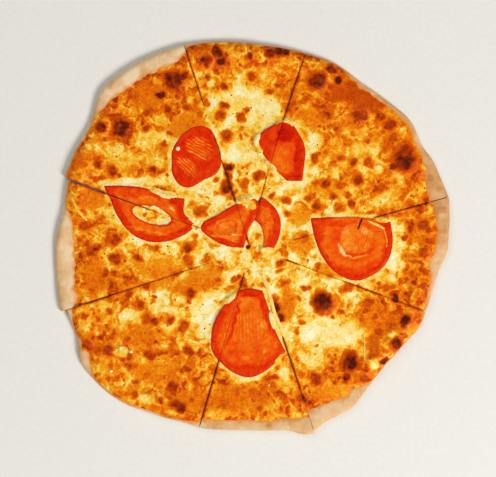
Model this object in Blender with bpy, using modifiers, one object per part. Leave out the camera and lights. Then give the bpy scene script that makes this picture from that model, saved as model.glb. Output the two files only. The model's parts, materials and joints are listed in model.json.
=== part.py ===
"""A cheese pizza cut into eight slices, with slices of tomato in its browned cheese.

Everything is in metres with +Z up. The underside lies at height zero, with the
origin under the middle of the pizza's outline. Angles are in degrees, counted from
+X towards +Y about HUB, the place where the four knife strokes cross. Slice n lies
between cut n and cut n + 1, counted in the same direction.
"""

import math

import bmesh
import bpy
import numpy as np

MM = 0.001

# Driving sizes of the dough
HUB = (-1.8 * MM, -7.7 * MM)
DOUGH_FLOOR = 3.4 * MM
RIM_RISE = 3.1 * MM
RIM_CREST_IN = 7 * MM
RIM_FOOT_IN = 24 * MM
LIP_ROUND = 4.5 * MM
LIP_SHARE = 0.35
KNIFE_GAP = 0.7 * MM

# Low waves in the rim: how many go round the pizza, their phase, and their share of its rise
RIM_WAVES = [(9, 1.0, 0.16), (17, 0.0, 0.10)]

# Driving sizes of the cheese, which lies on the dough
TOUCH_GAP = 0.35 * MM
CHEESE_THICK = 2.5 * MM
CHEESE_EDGE_SHARE = 0.3
CHEESE_EDGE_IN = 10 * MM
BLISTER_RISE = 0.9 * MM
POOL_SINK = 0.4 * MM
WAVE_RISE = 0.3 * MM

# Driving sizes of the tomato slices, which lie in pockets in the cheese
POCKET_FLOOR = 4.3 * MM
TOMATO_GAP = 0.3 * MM
SKIN_ROUND = 0.7 * MM
SKIN_WIDTH = 2.2 * MM
FLESH_SINK = 0.45 * MM
SEED_SINK = 0.8 * MM

# A nominal round pizza is turned first and then pulled out to the uneven outline
NOMINAL_CHEESE = 140 * MM
NOMINAL_RADIUS = 150 * MM
TURN_STEPS = 112
CHEESE_RING = 7.3 * MM

# Each knife cut: its direction, how far it misses the hub, and its bow in mm
CUTS = {
    1: (15.5, -2.9, 0.0),
    2: (73.8, 1.1, 2.0),
    3: (108.1, -0.3, 0.0),
    4: (159.7, -0.9, 0.0),
    5: (198.3, 1.0, 0.0),
    6: (253.8, 1.0, 0.0),
    7: (289.0, 0.6, 0.8),
    8: (339.6, 1.2, 0.0),
}
CUT_BEND = 25 * MM
CUT_END = 190 * MM
CUT_REACHES = [8 * MM, 16 * MM, 25 * MM, 50 * MM, 75 * MM, 100 * MM, CUT_END]
WEDGE_LOW = -10 * MM
WEDGE_HIGH = 40 * MM

# Each slice: the outline's distance from the hub in mm, by angle
OUTLINE = {
    1: [(14, 156.2), (20, 154.6), (26, 154.6), (30.4, 151.9), (38.4, 156.4), (47, 153), (55.6, 151.5),
        (65, 154.8), (75, 154.2)],
    2: [(73, 154.2), (86, 154.9), (96, 158.1), (109, 163)],
    3: [(107, 162.7), (116, 164), (121, 165.3), (133.5, 165.5), (141, 155), (145, 153.2), (160, 151.2)],
    4: [(159, 148.4), (169, 144.7), (178, 148.2), (189, 149), (200, 152.3)],
    5: [(198, 147.6), (207.7, 147.8), (213, 155.2), (216, 156), (226, 154.6), (231, 152.4), (239, 146.8),
        (249, 142), (256, 142.4)],
    6: [(253, 142.6), (263, 139.5), (269, 138.7), (279, 140.3), (282.3, 142.1), (286, 148.3), (290, 149.8)],
    7: [(288, 149), (294, 143.7), (302, 145.2), (308, 140.3), (314, 137.2), (320, 136.3), (330, 139.2),
        (335.5, 143.6), (341, 141.8)],
    8: [(339, 142), (350, 143.5), (355, 145.8), (358, 150), (365, 152.2), (375, 156.6)],
}

# Each slice: how wide the bare rim outside the cheese is in mm, by angle
BARE_RIM = {
    1: [(14, 13), (20, 12.5), (26, 7), (30, 3), (35, 5), (57, 5), (61, 1.3), (75, 1.3)],
    2: [(73, 1.3), (109, 1.3)],
    3: [(107, 3), (111, 8), (121, 9.5), (133, 9), (139, 2.5), (160, 2)],
    4: [(159, 2), (168, 2.5), (173, 10), (180, 12.5), (190, 13), (200, 12)],
    5: [(198, 1.5), (208, 1.8), (212, 7.5), (217, 7.5), (220, 2), (250, 2), (256, 6)],
    6: [(253, 6.5), (268, 8), (280, 7), (286, 12), (290, 12)],
    7: [(288, 14), (300, 11), (307, 9), (311, 1.5), (330, 1.5), (341, 2.5)],
    8: [(339, 2.5), (349, 4), (354, 9), (364, 8), (370, 12), (375, 13)],
}

# The largest browned blisters and the pools of pale cheese: x, y and radius in mm
BLISTERS = [
    (-57.3, 120.0, 7.5),
    (-100.6, 83.5, 8.0),
    (-33.7, 134.4, 6.5),
    (23.3, 140.5, 6.0),
    (48.3, 120.0, 7.0),
    (65.1, 119.2, 6.5),
    (81.8, 94.2, 6.5),
    (116.0, 57.7, 10.0),
    (135.0, 4.5, 7.0),
    (120.5, -18.3, 6.5),
    (54.4, -48.7, 7.0),
    (74.2, -97.4, 7.0),
    (-112.8, -83.7, 6.5),
]
POOLS = [
    (-4.9, 99.5, 25.0),
    (-7.1, 65.3, 13.0),
    (63.2, -73.8, 24.0),
    (-34.6, -59.8, 12.0),
]

# Each tomato slice: thickness in mm, outline, which of its points are sharp corners, through
# hole, seed pockets, slit, and the runs of pizza slices that the knife left a piece of it on
TOMATOES = {
    "tomato_upper_left": {
        "thick": 3.5,
        "outline": [(-61.3, 60.7), (-59.6, 69.1), (-49.9, 81.2), (-39.8, 85.0), (-32.2, 82.8),
                    (-26.9, 73.6), (-23.5, 59.2), (-26.9, 49.3), (-37.9, 43.7), (-48.9, 38.3),
                    (-58.1, 43.2)],
        "seed_pockets": [(-40.3, 67.8, 9, 6.5, -25), (-48.7, 53.3, 9, 5, -35)],
        "pieces": {"": (3, 3)},
    },
    "tomato_upper_right": {
        "thick": 4.3,
        "outline": [(26.1, 88.4), (14.6, 84.6), (3.2, 73.4), (8.0, 64.3), (17.2, 52.6), (26.4, 43.6),
                    (37.6, 43.4), (39.0, 54.6), (39.8, 67.5), (35.1, 78.9)],
        "corners": (5, 6),
        "pieces": {"_main": (1, 1), "_tip": (2, 2)},
    },
    "tomato_left": {
        "thick": 3.7,
        "outline": [(-113.0, 39.6), (-97.1, 39.2), (-80.0, 37.2), (-70.0, 32.4), (-51.6, 29.6),
                    (-51.3, 17.5), (-44.2, 11.2), (-55.5, 0.6), (-71.5, -3.3), (-84.0, -1.0),
                    (-94.6, 6.0), (-103.4, 18.6), (-107.4, 28.6)],
        "corners": (0, 4),
        "hole": (-76.3, 17.2, 15.5, 6.5, -17),
        "pieces": {"_band": (3, 3), "_ring": (4, 4)},
    },
    "tomato_middle": {
        "thick": 4.0,
        "outline": [(-39.1, 8.5), (-27.4, 16.4), (-12.8, 25.2), (-1.8, 29.6), (4.2, 27.3), (2.9, 16.4),
                    (-2.6, 7.4), (-6.8, -7.4), (-19.0, -6.2), (-32.2, 0.4)],
        "corners": (7,),
        "seed_pockets": [(-19.0, 8.0, 7, 4.5, 15)],
        "pieces": {"_main": (3, 4), "_tip": (2, 2)},
    },
    "tomato_crescent": {
        "thick": 4.2,
        "outline": [(5.5, 30.3), (13.0, 26.5), (19.9, 17.6), (21.2, 6.9), (18.8, -2.8), (15.4, -9.2),
                    (8.2, -8.4), (8.8, 2.0), (6.2, 9.6), (2.3, 14.5)],
        "corners": (5, 6),
        "pieces": {"": (8, 1)},
    },
    "tomato_right": {
        "thick": 3.9,
        "outline": [(44.4, 14.6), (62.8, 15.6), (82.8, 15.2), (104.8, 12.2), (106.2, -6.0),
                    (100.2, -21.0), (90.6, -28.4), (79.1, -32.3), (67.0, -28.4), (55.0, -16.8),
                    (47.8, -1.0)],
        "corners": (0, 3),
        "seed_pockets": [(78.2, -1.4, 14, 13, 0)],
        "slit": (81.8, 11.0, 9.5, 1.4, 69),
        "pieces": {"": (8, 1)},
    },
    "tomato_bottom": {
        "thick": 4.1,
        "outline": [(-9.4, -40.4), (-0.3, -38.8), (7.6, -40.4), (11.9, -53.0), (17.0, -70.0),
                    (24.8, -86.2), (17.9, -94.0), (8.8, -101.6), (-1.8, -105.7), (-13.2, -102.7),
                    (-23.1, -95.1), (-30.3, -86.0), (-31.1, -77.6), (-29.2, -65.4), (-21.6, -51.8),
                    (-14.7, -44.9)],
        "corners": (2, 5),
        "pieces": {"_main": (6, 6), "_strip": (5, 5)},
    },
}

OUTLINE_STEPS = 3
POCKET_HIGH = 17 * MM

# The surfaces: colour, roughness
BAKED_DOUGH = ((0.76, 0.55, 0.36), 0.85)
BROWNED_CHEESE = ((0.90, 0.40, 0.05), 0.45)
BAKED_TOMATO = ((0.80, 0.10, 0.01), 0.30)


def clear_scene():
    """Removes whatever the scene starts with."""
    for obj in list(bpy.data.objects):
        bpy.data.objects.remove(obj)


def new_collection(name):
    collection = bpy.data.collections.new(name)
    bpy.context.scene.collection.children.link(collection)
    return collection


def finish_material(name, colour, roughness):
    material = bpy.data.materials.new(name)
    material.use_nodes = True
    shader = material.node_tree.nodes["Principled BSDF"]
    shader.inputs["Base Color"].default_value = (*colour, 1)
    shader.inputs["Roughness"].default_value = roughness
    shader.inputs["Metallic"].default_value = 0
    return material


def smooth(share):
    """0 to 1 in an S-curve as share goes from 0 to 1."""
    share = np.clip(share, 0, 1)
    return share * share * (3 - 2 * share)


def by_angle(table, angle):
    """The table's value in metres at an angle, with its corners rounded off over 3 degrees."""
    angles = [row[0] for row in table]
    values = [row[1] * MM for row in table]
    return sum(np.interp(angle + turn, angles, values) for turn in (-1.5, 0, 1.5)) / 3


def cut_offset(cut, reach):
    """How far a cut lies to the left of its own direction from the hub, at a distance from the hub."""
    _, miss, bow = CUTS[cut]
    bowed = bow * math.sin(math.pi * min(reach / NOMINAL_RADIUS, 1))
    return (miss * smooth(reach / CUT_BEND) + bowed) * MM


def cut_point(cut, reach, aside):
    """The point of a cut at a distance from the hub, moved aside to its left."""
    angle = math.radians(CUTS[cut][0])
    side = cut_offset(cut, reach) + aside
    x = HUB[0] + reach * math.cos(angle) - side * math.sin(angle)
    y = HUB[1] + reach * math.sin(angle) + side * math.cos(angle)
    return x, y


def wedge_outline(first, last):
    """The outline from the cut before slice first to the cut after slice last, less half the gap."""
    before, after = first, last % 8 + 1
    start, end = CUTS[before][0], CUTS[after][0]
    end += 360 * (end < start)
    half_span = math.radians(end - start) / 2
    middle = math.radians(start) + half_span
    tip = KNIFE_GAP / 2 / math.sin(half_span)
    out = [cut_point(before, reach, KNIFE_GAP / 2) for reach in CUT_REACHES]
    back = [cut_point(after, reach, -KNIFE_GAP / 2) for reach in reversed(CUT_REACHES)]
    far = CUT_END / math.cos(half_span)
    return [
        (HUB[0] + tip * math.cos(middle), HUB[1] + tip * math.sin(middle)),
        *out,
        (HUB[0] + far * math.cos(middle), HUB[1] + far * math.sin(middle)),
        *back,
    ]


def ellipse(x, y, half_length, half_width, turn, count=12):
    """Points in metres round an ellipse given in mm."""
    cos, sin = math.cos(math.radians(turn)), math.sin(math.radians(turn))
    points = []
    for step in range(count):
        angle = 2 * math.pi * step / count
        along, across = half_length * MM * math.cos(angle), half_width * MM * math.sin(angle)
        points.append((x * MM + along * cos - across * sin, y * MM + along * sin + across * cos))
    return points


def mesh_of(holder, name):
    """The evaluated mesh of an object, welded and in world space. The object is removed."""
    bpy.context.view_layer.update()
    graph = bpy.context.evaluated_depsgraph_get()
    mesh = bpy.data.meshes.new_from_object(holder.evaluated_get(graph))
    mesh.name = name
    mesh.transform(holder.matrix_world)
    bpy.data.objects.remove(holder)
    work = bmesh.new()
    work.from_mesh(mesh)
    bmesh.ops.remove_doubles(work, verts=work.verts, dist=0.01 * MM)
    bmesh.ops.recalc_face_normals(work, faces=work.faces)
    work.to_mesh(mesh)
    work.free()
    return mesh


def flat_solid(name, outline, low, high, rounded=0.0, grow=0.0, steps=1, corners=()):
    """The mesh between two heights inside a closed outline in metres.

    More steps than 1 curve the outline, except at the points listed as corners.
    """
    curve = bpy.data.curves.new(name, "CURVE")
    curve.dimensions = "2D"
    curve.fill_mode = "BOTH"
    curve.extrude = (high - low) / 2 - rounded
    curve.bevel_depth = rounded
    curve.bevel_resolution = 0
    curve.offset = grow - rounded
    curve.resolution_u = steps
    spline = curve.splines.new("BEZIER")
    spline.bezier_points.add(len(outline) - 1)
    for number, (x, y) in enumerate(outline):
        knot = spline.bezier_points[number]
        knot.co = (x, y, 0)
        sharp = steps == 1 or number in corners
        knot.handle_left_type = knot.handle_right_type = "VECTOR" if sharp else "AUTO"
    spline.use_cyclic_u = True
    holder = bpy.data.objects.new(name, curve)
    holder.location.z = (low + high) / 2
    bpy.context.scene.collection.objects.link(holder)
    return mesh_of(holder, name)


def turned_solid(name, profile):
    """The mesh of a profile of (radius, level) pairs turned about the Z axis."""
    mesh = bpy.data.meshes.new(name)
    points = [(radius, 0, level * MM) for radius, level in profile]
    mesh.from_pydata(points, [(i, i + 1) for i in range(len(points) - 1)], [])
    holder = bpy.data.objects.new(name, mesh)
    bpy.context.scene.collection.objects.link(holder)
    screw = holder.modifiers.new("turn", "SCREW")
    screw.steps = screw.render_steps = TURN_STEPS
    screw.use_merge_vertices = True
    screw.merge_threshold = 0.01 * MM
    return mesh_of(holder, name)


def dough_top(slice_number, angle, reach):
    """Height of the dough's upper side: flat inside, with a low uneven rim that rounds off at the edge."""
    inward = np.maximum(by_angle(OUTLINE[slice_number], angle) - reach, 0)
    hump = smooth((RIM_FOOT_IN - inward) / (RIM_FOOT_IN - RIM_CREST_IN))
    turn = np.radians(angle)
    uneven = 1 + sum(share * np.sin(count * turn + phase) for count, phase, share in RIM_WAVES)
    away = 1 - np.minimum(inward / LIP_ROUND, 1)
    lip = LIP_SHARE + (1 - LIP_SHARE) * np.sqrt(1 - away * away)
    return (DOUGH_FLOOR + RIM_RISE * uneven * hump) * lip


def spots(x, y, table):
    """A sum of smooth round bumps of height 1, one for each (x, y, radius) in mm."""
    total = np.zeros_like(x)
    for spot_x, spot_y, radius in table:
        distance = np.hypot(x - spot_x * MM, y - spot_y * MM)
        total += smooth(1.25 - distance / (radius * MM))
    return total


def cheese_relief(x, y):
    """The cheese's blisters, pools and long waves."""
    waves = np.sin(x / (8 * MM) + 1.3) * np.sin(y / (9 * MM)) + 0.5 * np.sin((x + y) / (6 * MM))
    return BLISTER_RISE * spots(x, y, BLISTERS) - POOL_SINK * spots(x, y, POOLS) + WAVE_RISE * waves


def cheese_thickness(x, y, inward):
    """Thickness of the cheese at a distance inward from its own edge."""
    body = CHEESE_EDGE_SHARE + (1 - CHEESE_EDGE_SHARE) * smooth(inward / CHEESE_EDGE_IN)
    return CHEESE_THICK * body + cheese_relief(x, y) * smooth(inward / CHEESE_EDGE_IN)


def pulled_out(mesh, slice_number, is_cheese):
    """Pulls a nominal turned solid out to one slice's outline, and gives it its heights."""
    count = len(mesh.vertices)
    points = np.empty(count * 3)
    mesh.vertices.foreach_get("co", points)
    points = points.reshape(-1, 3)
    nominal = np.hypot(points[:, 0], points[:, 1])
    level = points[:, 2] / MM
    first, last = OUTLINE[slice_number][0][0], OUTLINE[slice_number][-1][0]
    middle = (first + last) / 2
    turn = np.degrees(np.arctan2(points[:, 1], points[:, 0]))
    angle = (turn - middle + 180) % 360 - 180 + middle
    edge = by_angle(OUTLINE[slice_number], angle)
    bare = by_angle(BARE_RIM[slice_number], angle)
    inner_share = np.minimum(nominal / NOMINAL_CHEESE, 1)
    outer_share = np.maximum(nominal - NOMINAL_CHEESE, 0) / (NOMINAL_RADIUS - NOMINAL_CHEESE)
    reach = (edge - bare) * inner_share + bare * outer_share
    points[:, 0] = HUB[0] + reach * np.cos(np.radians(angle))
    points[:, 1] = HUB[1] + reach * np.sin(np.radians(angle))
    top = dough_top(slice_number, angle, reach)
    if is_cheese:
        thick = cheese_thickness(points[:, 0], points[:, 1], edge - bare - reach)
        points[:, 2] = top + TOUCH_GAP + level * thick
    else:
        points[:, 2] = top * level
    mesh.vertices.foreach_set("co", points.ravel())
    mesh.update()


def dough_profile():
    """Radius and level of the dough's turned profile, from the top of its axis round to the bottom."""
    top = [0, 100, 114, 124, 131, 136, 140, 142.5, 145.5, 148.5]
    side = [(149.6, 0.85), (150, 0.45), (149.4, 0.1), (148, 0)]
    return [(radius * MM, 1) for radius in top] + [(radius * MM, level) for radius, level in side] + [(0, 0)]


def cheese_profile():
    """Radius and level of the cheese's turned profile. Its underside has the dough's rings."""
    count = round(NOMINAL_CHEESE / CHEESE_RING)
    top = [NOMINAL_CHEESE * 0.985 * step / count for step in range(count + 1)]
    underside = [140, 136, 131, 124, 114, 100, 0]
    return [(radius, 1) for radius in top] + [(NOMINAL_CHEESE, 0.45)] + [(r * MM, 0) for r in underside]


def shown(name, mesh, material, collection, parent):
    """Puts a mesh in the pizza's collection as one named piece."""
    mesh.materials.clear()
    mesh.materials.append(material)
    mesh.shade_smooth()
    mesh.set_sharp_from_angle(angle=math.radians(40))
    obj = bpy.data.objects.new(name, mesh)
    obj.parent = parent
    collection.objects.link(obj)
    return obj


def cutter(name, mesh, collection):
    """Puts a mesh in the cutters' collection, drawn as wire and left out of renders."""
    obj = bpy.data.objects.new(name, mesh)
    obj.hide_render = True
    obj.display_type = "WIRE"
    collection.objects.link(obj)
    return obj


def cut_with(obj, other, operation):
    modifier = obj.modifiers.new(f"{operation.lower()}_{other.name}", "BOOLEAN")
    modifier.operation = operation
    modifier.object = other


def tomato_mesh(name, tomato):
    """One whole tomato slice: a rounded skin edge round slightly sunk flesh."""
    low = POCKET_FLOOR + TOMATO_GAP
    high = low + tomato["thick"] * MM
    outline = [(x * MM, y * MM) for x, y in tomato["outline"]]
    corners = tomato.get("corners", ())
    mesh = flat_solid(name, outline, low, high, rounded=SKIN_ROUND, steps=OUTLINE_STEPS, corners=corners)
    work = bmesh.new()
    work.from_mesh(mesh)
    top = [face for face in work.faces if face.normal.z > 0.99]
    bmesh.ops.inset_region(work, faces=top, thickness=SKIN_WIDTH, use_even_offset=True)
    for vertex in {vertex for face in top for vertex in face.verts}:
        vertex.co.z -= FLESH_SINK
    work.to_mesh(mesh)
    work.free()
    return mesh


def seed_pocket_mesh(name, pocket, top):
    """A shallow dish: a ball squashed to the pocket's ellipse, its middle on the flesh."""
    x, y, half_length, half_width, turn = pocket
    work = bmesh.new()
    bmesh.ops.create_uvsphere(work, u_segments=14, v_segments=6, radius=1)
    mesh = bpy.data.meshes.new(name)
    work.to_mesh(mesh)
    work.free()
    holder = bpy.data.objects.new(name, mesh)
    holder.scale = (half_length * MM, half_width * MM, SEED_SINK)
    holder.rotation_euler.z = math.radians(turn)
    holder.location = (x * MM, y * MM, top)
    bpy.context.scene.collection.objects.link(holder)
    return mesh_of(holder, name)


def slit_mesh(name, slit, low, high):
    """A thin upright box that cuts right through."""
    x, y, length, width, turn = slit
    work = bmesh.new()
    bmesh.ops.create_cube(work, size=1)
    mesh = bpy.data.meshes.new(name)
    work.to_mesh(mesh)
    work.free()
    holder = bpy.data.objects.new(name, mesh)
    holder.scale = (length * MM, width * MM, high - low)
    holder.rotation_euler.z = math.radians(turn)
    holder.location = (x * MM, y * MM, (low + high) / 2)
    bpy.context.scene.collection.objects.link(holder)
    return mesh_of(holder, name)


def slices_between(first, last):
    return range(first, last + 1) if first <= last else [*range(first, 9), *range(1, last + 1)]


def make_tomato(name, tomato, material, pizza, cutters, parent, wedges):
    """Makes the pieces of one tomato slice, and returns its pocket with the slices it lies on."""
    low = POCKET_FLOOR + TOMATO_GAP
    flesh = low + tomato["thick"] * MM - FLESH_SINK
    whole = tomato_mesh(name, tomato)
    tools = []
    for number, pocket in enumerate(tomato.get("seed_pockets", []), 1):
        dish = f"{name}_seeds_{number}"
        tools.append(cutter(dish, seed_pocket_mesh(dish, pocket, flesh), cutters))
    if "hole" in tomato:
        hole = f"{name}_hole"
        mesh = flat_solid(hole, ellipse(*tomato["hole"]), 0, POCKET_HIGH)
        tools.append(cutter(hole, mesh, cutters))
    if "slit" in tomato:
        slit = f"{name}_slit"
        tools.append(cutter(slit, slit_mesh(slit, tomato["slit"], 0, POCKET_HIGH), cutters))
    lies_on = set()
    for ending, (first, last) in tomato["pieces"].items():
        piece = shown(name + ending, whole.copy(), material, pizza, parent)
        cut_with(piece, wedges[first, last], "INTERSECT")
        for tool in tools:
            cut_with(piece, tool, "DIFFERENCE")
        lies_on.update(slices_between(first, last))
    outline = [(x * MM, y * MM) for x, y in tomato["outline"]]
    pocket = f"{name}_pocket"
    mesh = flat_solid(
        pocket, outline, POCKET_FLOOR, POCKET_HIGH, grow=TOMATO_GAP, steps=OUTLINE_STEPS,
        corners=tomato.get("corners", ()),
    )
    return cutter(pocket, mesh, cutters), lies_on


def make_wedges(cutters):
    """One prism for each run of slices that something is cut to."""
    runs = {(number, number) for number in OUTLINE}
    for tomato in TOMATOES.values():
        runs.update(tomato["pieces"].values())
    wedges = {}
    for first, last in sorted(runs):
        name = f"wedge_{first}_{last}"
        mesh = flat_solid(name, wedge_outline(first, last), WEDGE_LOW, WEDGE_HIGH)
        wedges[first, last] = cutter(name, mesh, cutters)
    return wedges


def make_slice(number, materials, pizza, cutters, parent, wedges, pockets):
    """Makes the dough and the cheese of one slice."""
    dough_mesh = turned_solid(f"crust_{number}", dough_profile())
    pulled_out(dough_mesh, number, is_cheese=False)
    dough = shown(f"crust_{number}", dough_mesh, materials["dough"], pizza, parent)
    cut_with(dough, wedges[number, number], "INTERSECT")
    cheese_mesh = turned_solid(f"cheese_{number}", cheese_profile())
    pulled_out(cheese_mesh, number, is_cheese=True)
    cheese = shown(f"cheese_{number}", cheese_mesh, materials["cheese"], pizza, parent)
    cut_with(cheese, wedges[number, number], "INTERSECT")
    for pocket, lies_on in pockets:
        if number in lies_on:
            cut_with(cheese, pocket, "DIFFERENCE")


def build_pizza():
    clear_scene()
    pizza = new_collection("cheese_pizza")
    cutters = new_collection("cutters")
    parent = bpy.data.objects.new("cheese_pizza", None)
    pizza.objects.link(parent)
    materials = {
        "dough": finish_material("baked_dough", *BAKED_DOUGH),
        "cheese": finish_material("browned_cheese", *BROWNED_CHEESE),
        "tomato": finish_material("baked_tomato", *BAKED_TOMATO),
    }
    wedges = make_wedges(cutters)
    pockets = [
        make_tomato(name, tomato, materials["tomato"], pizza, cutters, parent, wedges)
        for name, tomato in TOMATOES.items()
    ]
    for number in OUTLINE:
        make_slice(number, materials, pizza, cutters, parent, wedges, pockets)


build_pizza()
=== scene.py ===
# %% [markdown]
# A baked cheese pizza, cut into eight slices.
# The solids of the pizza are already made and packed: dough, cheese and tomato, one node each.
# This lesson dresses them. Each cell says what a piece or a finish is on the real pizza, how it
# could be made in Blender, and why it is made the way it is. Lengths are in metres, and MM turns
# millimetres into them. Angles are in degrees about HUB, where the knife strokes cross.

import json
import math

import bmesh
import bpy
import numpy as np
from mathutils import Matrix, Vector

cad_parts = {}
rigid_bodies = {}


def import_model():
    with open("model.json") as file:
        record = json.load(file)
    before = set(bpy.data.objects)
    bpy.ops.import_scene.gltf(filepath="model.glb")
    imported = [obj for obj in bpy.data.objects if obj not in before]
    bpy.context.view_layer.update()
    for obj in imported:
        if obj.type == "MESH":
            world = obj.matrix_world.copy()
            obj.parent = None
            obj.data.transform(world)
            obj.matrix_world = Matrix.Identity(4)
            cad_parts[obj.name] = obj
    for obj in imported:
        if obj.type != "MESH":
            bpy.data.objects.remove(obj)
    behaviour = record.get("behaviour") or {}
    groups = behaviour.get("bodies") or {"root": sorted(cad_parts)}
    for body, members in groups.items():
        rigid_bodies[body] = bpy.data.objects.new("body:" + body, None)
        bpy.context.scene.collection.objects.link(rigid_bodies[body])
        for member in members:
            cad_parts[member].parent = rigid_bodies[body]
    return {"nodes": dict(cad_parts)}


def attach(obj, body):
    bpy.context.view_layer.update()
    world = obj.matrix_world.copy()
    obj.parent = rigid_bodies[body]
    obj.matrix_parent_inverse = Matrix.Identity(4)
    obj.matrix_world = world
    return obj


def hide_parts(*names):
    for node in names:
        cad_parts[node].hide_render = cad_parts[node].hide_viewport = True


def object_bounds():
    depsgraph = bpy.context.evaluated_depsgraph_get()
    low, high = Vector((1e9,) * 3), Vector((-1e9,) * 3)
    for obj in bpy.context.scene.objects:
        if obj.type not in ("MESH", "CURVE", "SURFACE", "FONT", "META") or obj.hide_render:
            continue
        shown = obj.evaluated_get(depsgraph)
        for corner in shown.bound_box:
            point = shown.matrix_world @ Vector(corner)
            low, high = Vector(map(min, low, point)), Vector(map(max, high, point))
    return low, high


MM = 0.001
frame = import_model()
cad_box = [list(corner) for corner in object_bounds()]
print("packed pizza:", len(frame["nodes"]), "nodes, box in mm:",
      [[round(value / MM, 1) for value in corner] for corner in cad_box])

# %% [markdown]
# The baked dough was pulled by hand, so no slice has the same edge as the next, and after the cut
# the slices moved a little. The solids were made from a few sizes and tables: where each knife cut
# runs, how far the edge is from the hub, and how wide the bare rim is. The looks need the same
# tables, since a new surface has to lie exactly where the solid lies, so they are repeated here.

# %% Sizes of the dough, the cuts and the outline
# The hub, where the tips of all eight slices meet
HUB = (-1.8 * MM, -7.7 * MM)

# The dough: its floor, the rise of the rim, how far in its crest and foot lie, and its round edge
DOUGH_FLOOR, RIM_RISE = 3.4 * MM, 3.1 * MM
RIM_CREST_IN, RIM_FOOT_IN = 7 * MM, 24 * MM
LIP_ROUND, LIP_SHARE = 4.5 * MM, 0.35

# Waves in the height of the rim: how many go round, where they start, and their share of the rise
RIM_WAVES = [(9, 1.0, 0.16), (17, 0.0, 0.10)]

# The cheese: its gap to the dough, its thickness, the share left at its edge, and how far in it is whole
TOUCH_GAP, CHEESE_THICK = 0.35 * MM, 2.5 * MM
CHEESE_EDGE_SHARE, CHEESE_EDGE_IN = 0.3, 10 * MM

# How far from the hub a cut reaches its own line, and the usual distance from the hub to the edge
CUT_BEND, NOMINAL_RADIUS = 25 * MM, 150 * MM

# Each cut: its direction in degrees, and how far it misses the hub and bows in mm
CUTS = {
    1: (15.5, -2.9, 0.0), 2: (73.8, 1.1, 2.0), 3: (108.1, -0.3, 0.0), 4: (159.7, -0.9, 0.0),
    5: (198.3, 1.0, 0.0), 6: (253.8, 1.0, 0.0), 7: (289.0, 0.6, 0.8), 8: (339.6, 1.2, 0.0),
}

# Each slice: the edge's distance from the hub in mm, by angle
OUTLINE = {
    1: [(14, 156.2), (20, 154.6), (26, 154.6), (30.4, 151.9), (38.4, 156.4), (47, 153),
        (55.6, 151.5), (65, 154.8), (75, 154.2)],
    2: [(73, 154.2), (86, 154.9), (96, 158.1), (109, 163)],
    3: [(107, 162.7), (116, 164), (121, 165.3), (133.5, 165.5), (141, 155), (145, 153.2), (160, 151.2)],
    4: [(159, 148.4), (169, 144.7), (178, 148.2), (189, 149), (200, 152.3)],
    5: [(198, 147.6), (207.7, 147.8), (213, 155.2), (216, 156), (226, 154.6), (231, 152.4),
        (239, 146.8), (249, 142), (256, 142.4)],
    6: [(253, 142.6), (263, 139.5), (269, 138.7), (279, 140.3), (282.3, 142.1), (286, 148.3), (290, 149.8)],
    7: [(288, 149), (294, 143.7), (302, 145.2), (308, 140.3), (314, 137.2), (320, 136.3), (330, 139.2),
        (335.5, 143.6), (341, 141.8)],
    8: [(339, 142), (350, 143.5), (355, 145.8), (358, 150), (365, 152.2), (375, 156.6)],
}

# Each slice: how wide the bare rim is in mm, by angle
BARE_RIM = {
    1: [(14, 13), (20, 12.5), (26, 7), (30, 3), (35, 5), (57, 5), (61, 1.3), (75, 1.3)],
    2: [(73, 1.3), (109, 1.3)],
    3: [(107, 3), (111, 8), (121, 9.5), (133, 9), (139, 2.5), (160, 2)],
    4: [(159, 2), (168, 2.5), (173, 10), (180, 12.5), (190, 13), (200, 12)],
    5: [(198, 1.5), (208, 1.8), (212, 7.5), (217, 7.5), (220, 2), (250, 2), (256, 6)],
    6: [(253, 6.5), (268, 8), (280, 7), (286, 12), (290, 12)],
    7: [(288, 14), (300, 11), (307, 9), (311, 1.5), (330, 1.5), (341, 2.5)],
    8: [(339, 2.5), (349, 4), (354, 9), (364, 8), (370, 12), (375, 13)],
}
print("slices:", len(OUTLINE), "edge from", min(row[1] for table in OUTLINE.values() for row in table),
      "to", max(row[1] for table in OUTLINE.values() for row in table), "mm from the hub")

# %% [markdown]
# The tables hold only the points that the outline needs, so they are read on straight lines from
# row to row, and a mean over three nearby angles rounds off the corners. The dough is flat inside.
# Towards the edge it rises to a low rim that was puffed up by the heat, more in one place than in
# the next, so two sine waves round the pizza make its height uneven.

# %% Height of the dough
CORNER_ROUND = 1.5


def smooth(share):
    """0 to 1 in an S-curve as share goes from 0 to 1."""
    share = np.clip(share, 0, 1)
    return share * share * (3 - 2 * share)


def read_off(table, at):
    """The second column of a table at a place in its first, on straight lines from row to row."""
    return np.interp(at, [row[0] for row in table], [row[1] for row in table])


def by_angle(table, angle):
    """The value of a table in metres at an angle, with its corners rounded off."""
    return sum(read_off(table, angle + turn) for turn in (-CORNER_ROUND, 0, CORNER_ROUND)) / 3 * MM


def dough_top(slice_number, angle, reach):
    """Height of the dough: flat inside, with a low uneven rim that rounds off at the edge."""
    inward = np.maximum(by_angle(OUTLINE[slice_number], angle) - reach, 0)
    hump = smooth((RIM_FOOT_IN - inward) / (RIM_FOOT_IN - RIM_CREST_IN))
    turn = np.radians(angle)
    uneven = 1 + sum(share * np.sin(count * turn + phase) for count, phase, share in RIM_WAVES)
    away = 1 - np.minimum(inward / LIP_ROUND, 1)
    lip = LIP_SHARE + (1 - LIP_SHARE) * np.sqrt(1 - away * away)
    return (DOUGH_FLOOR + RIM_RISE * uneven * hump) * lip


print("dough at the hub in mm:", round(float(dough_top(1, 45.0, 0.0)) / MM, 2))

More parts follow.
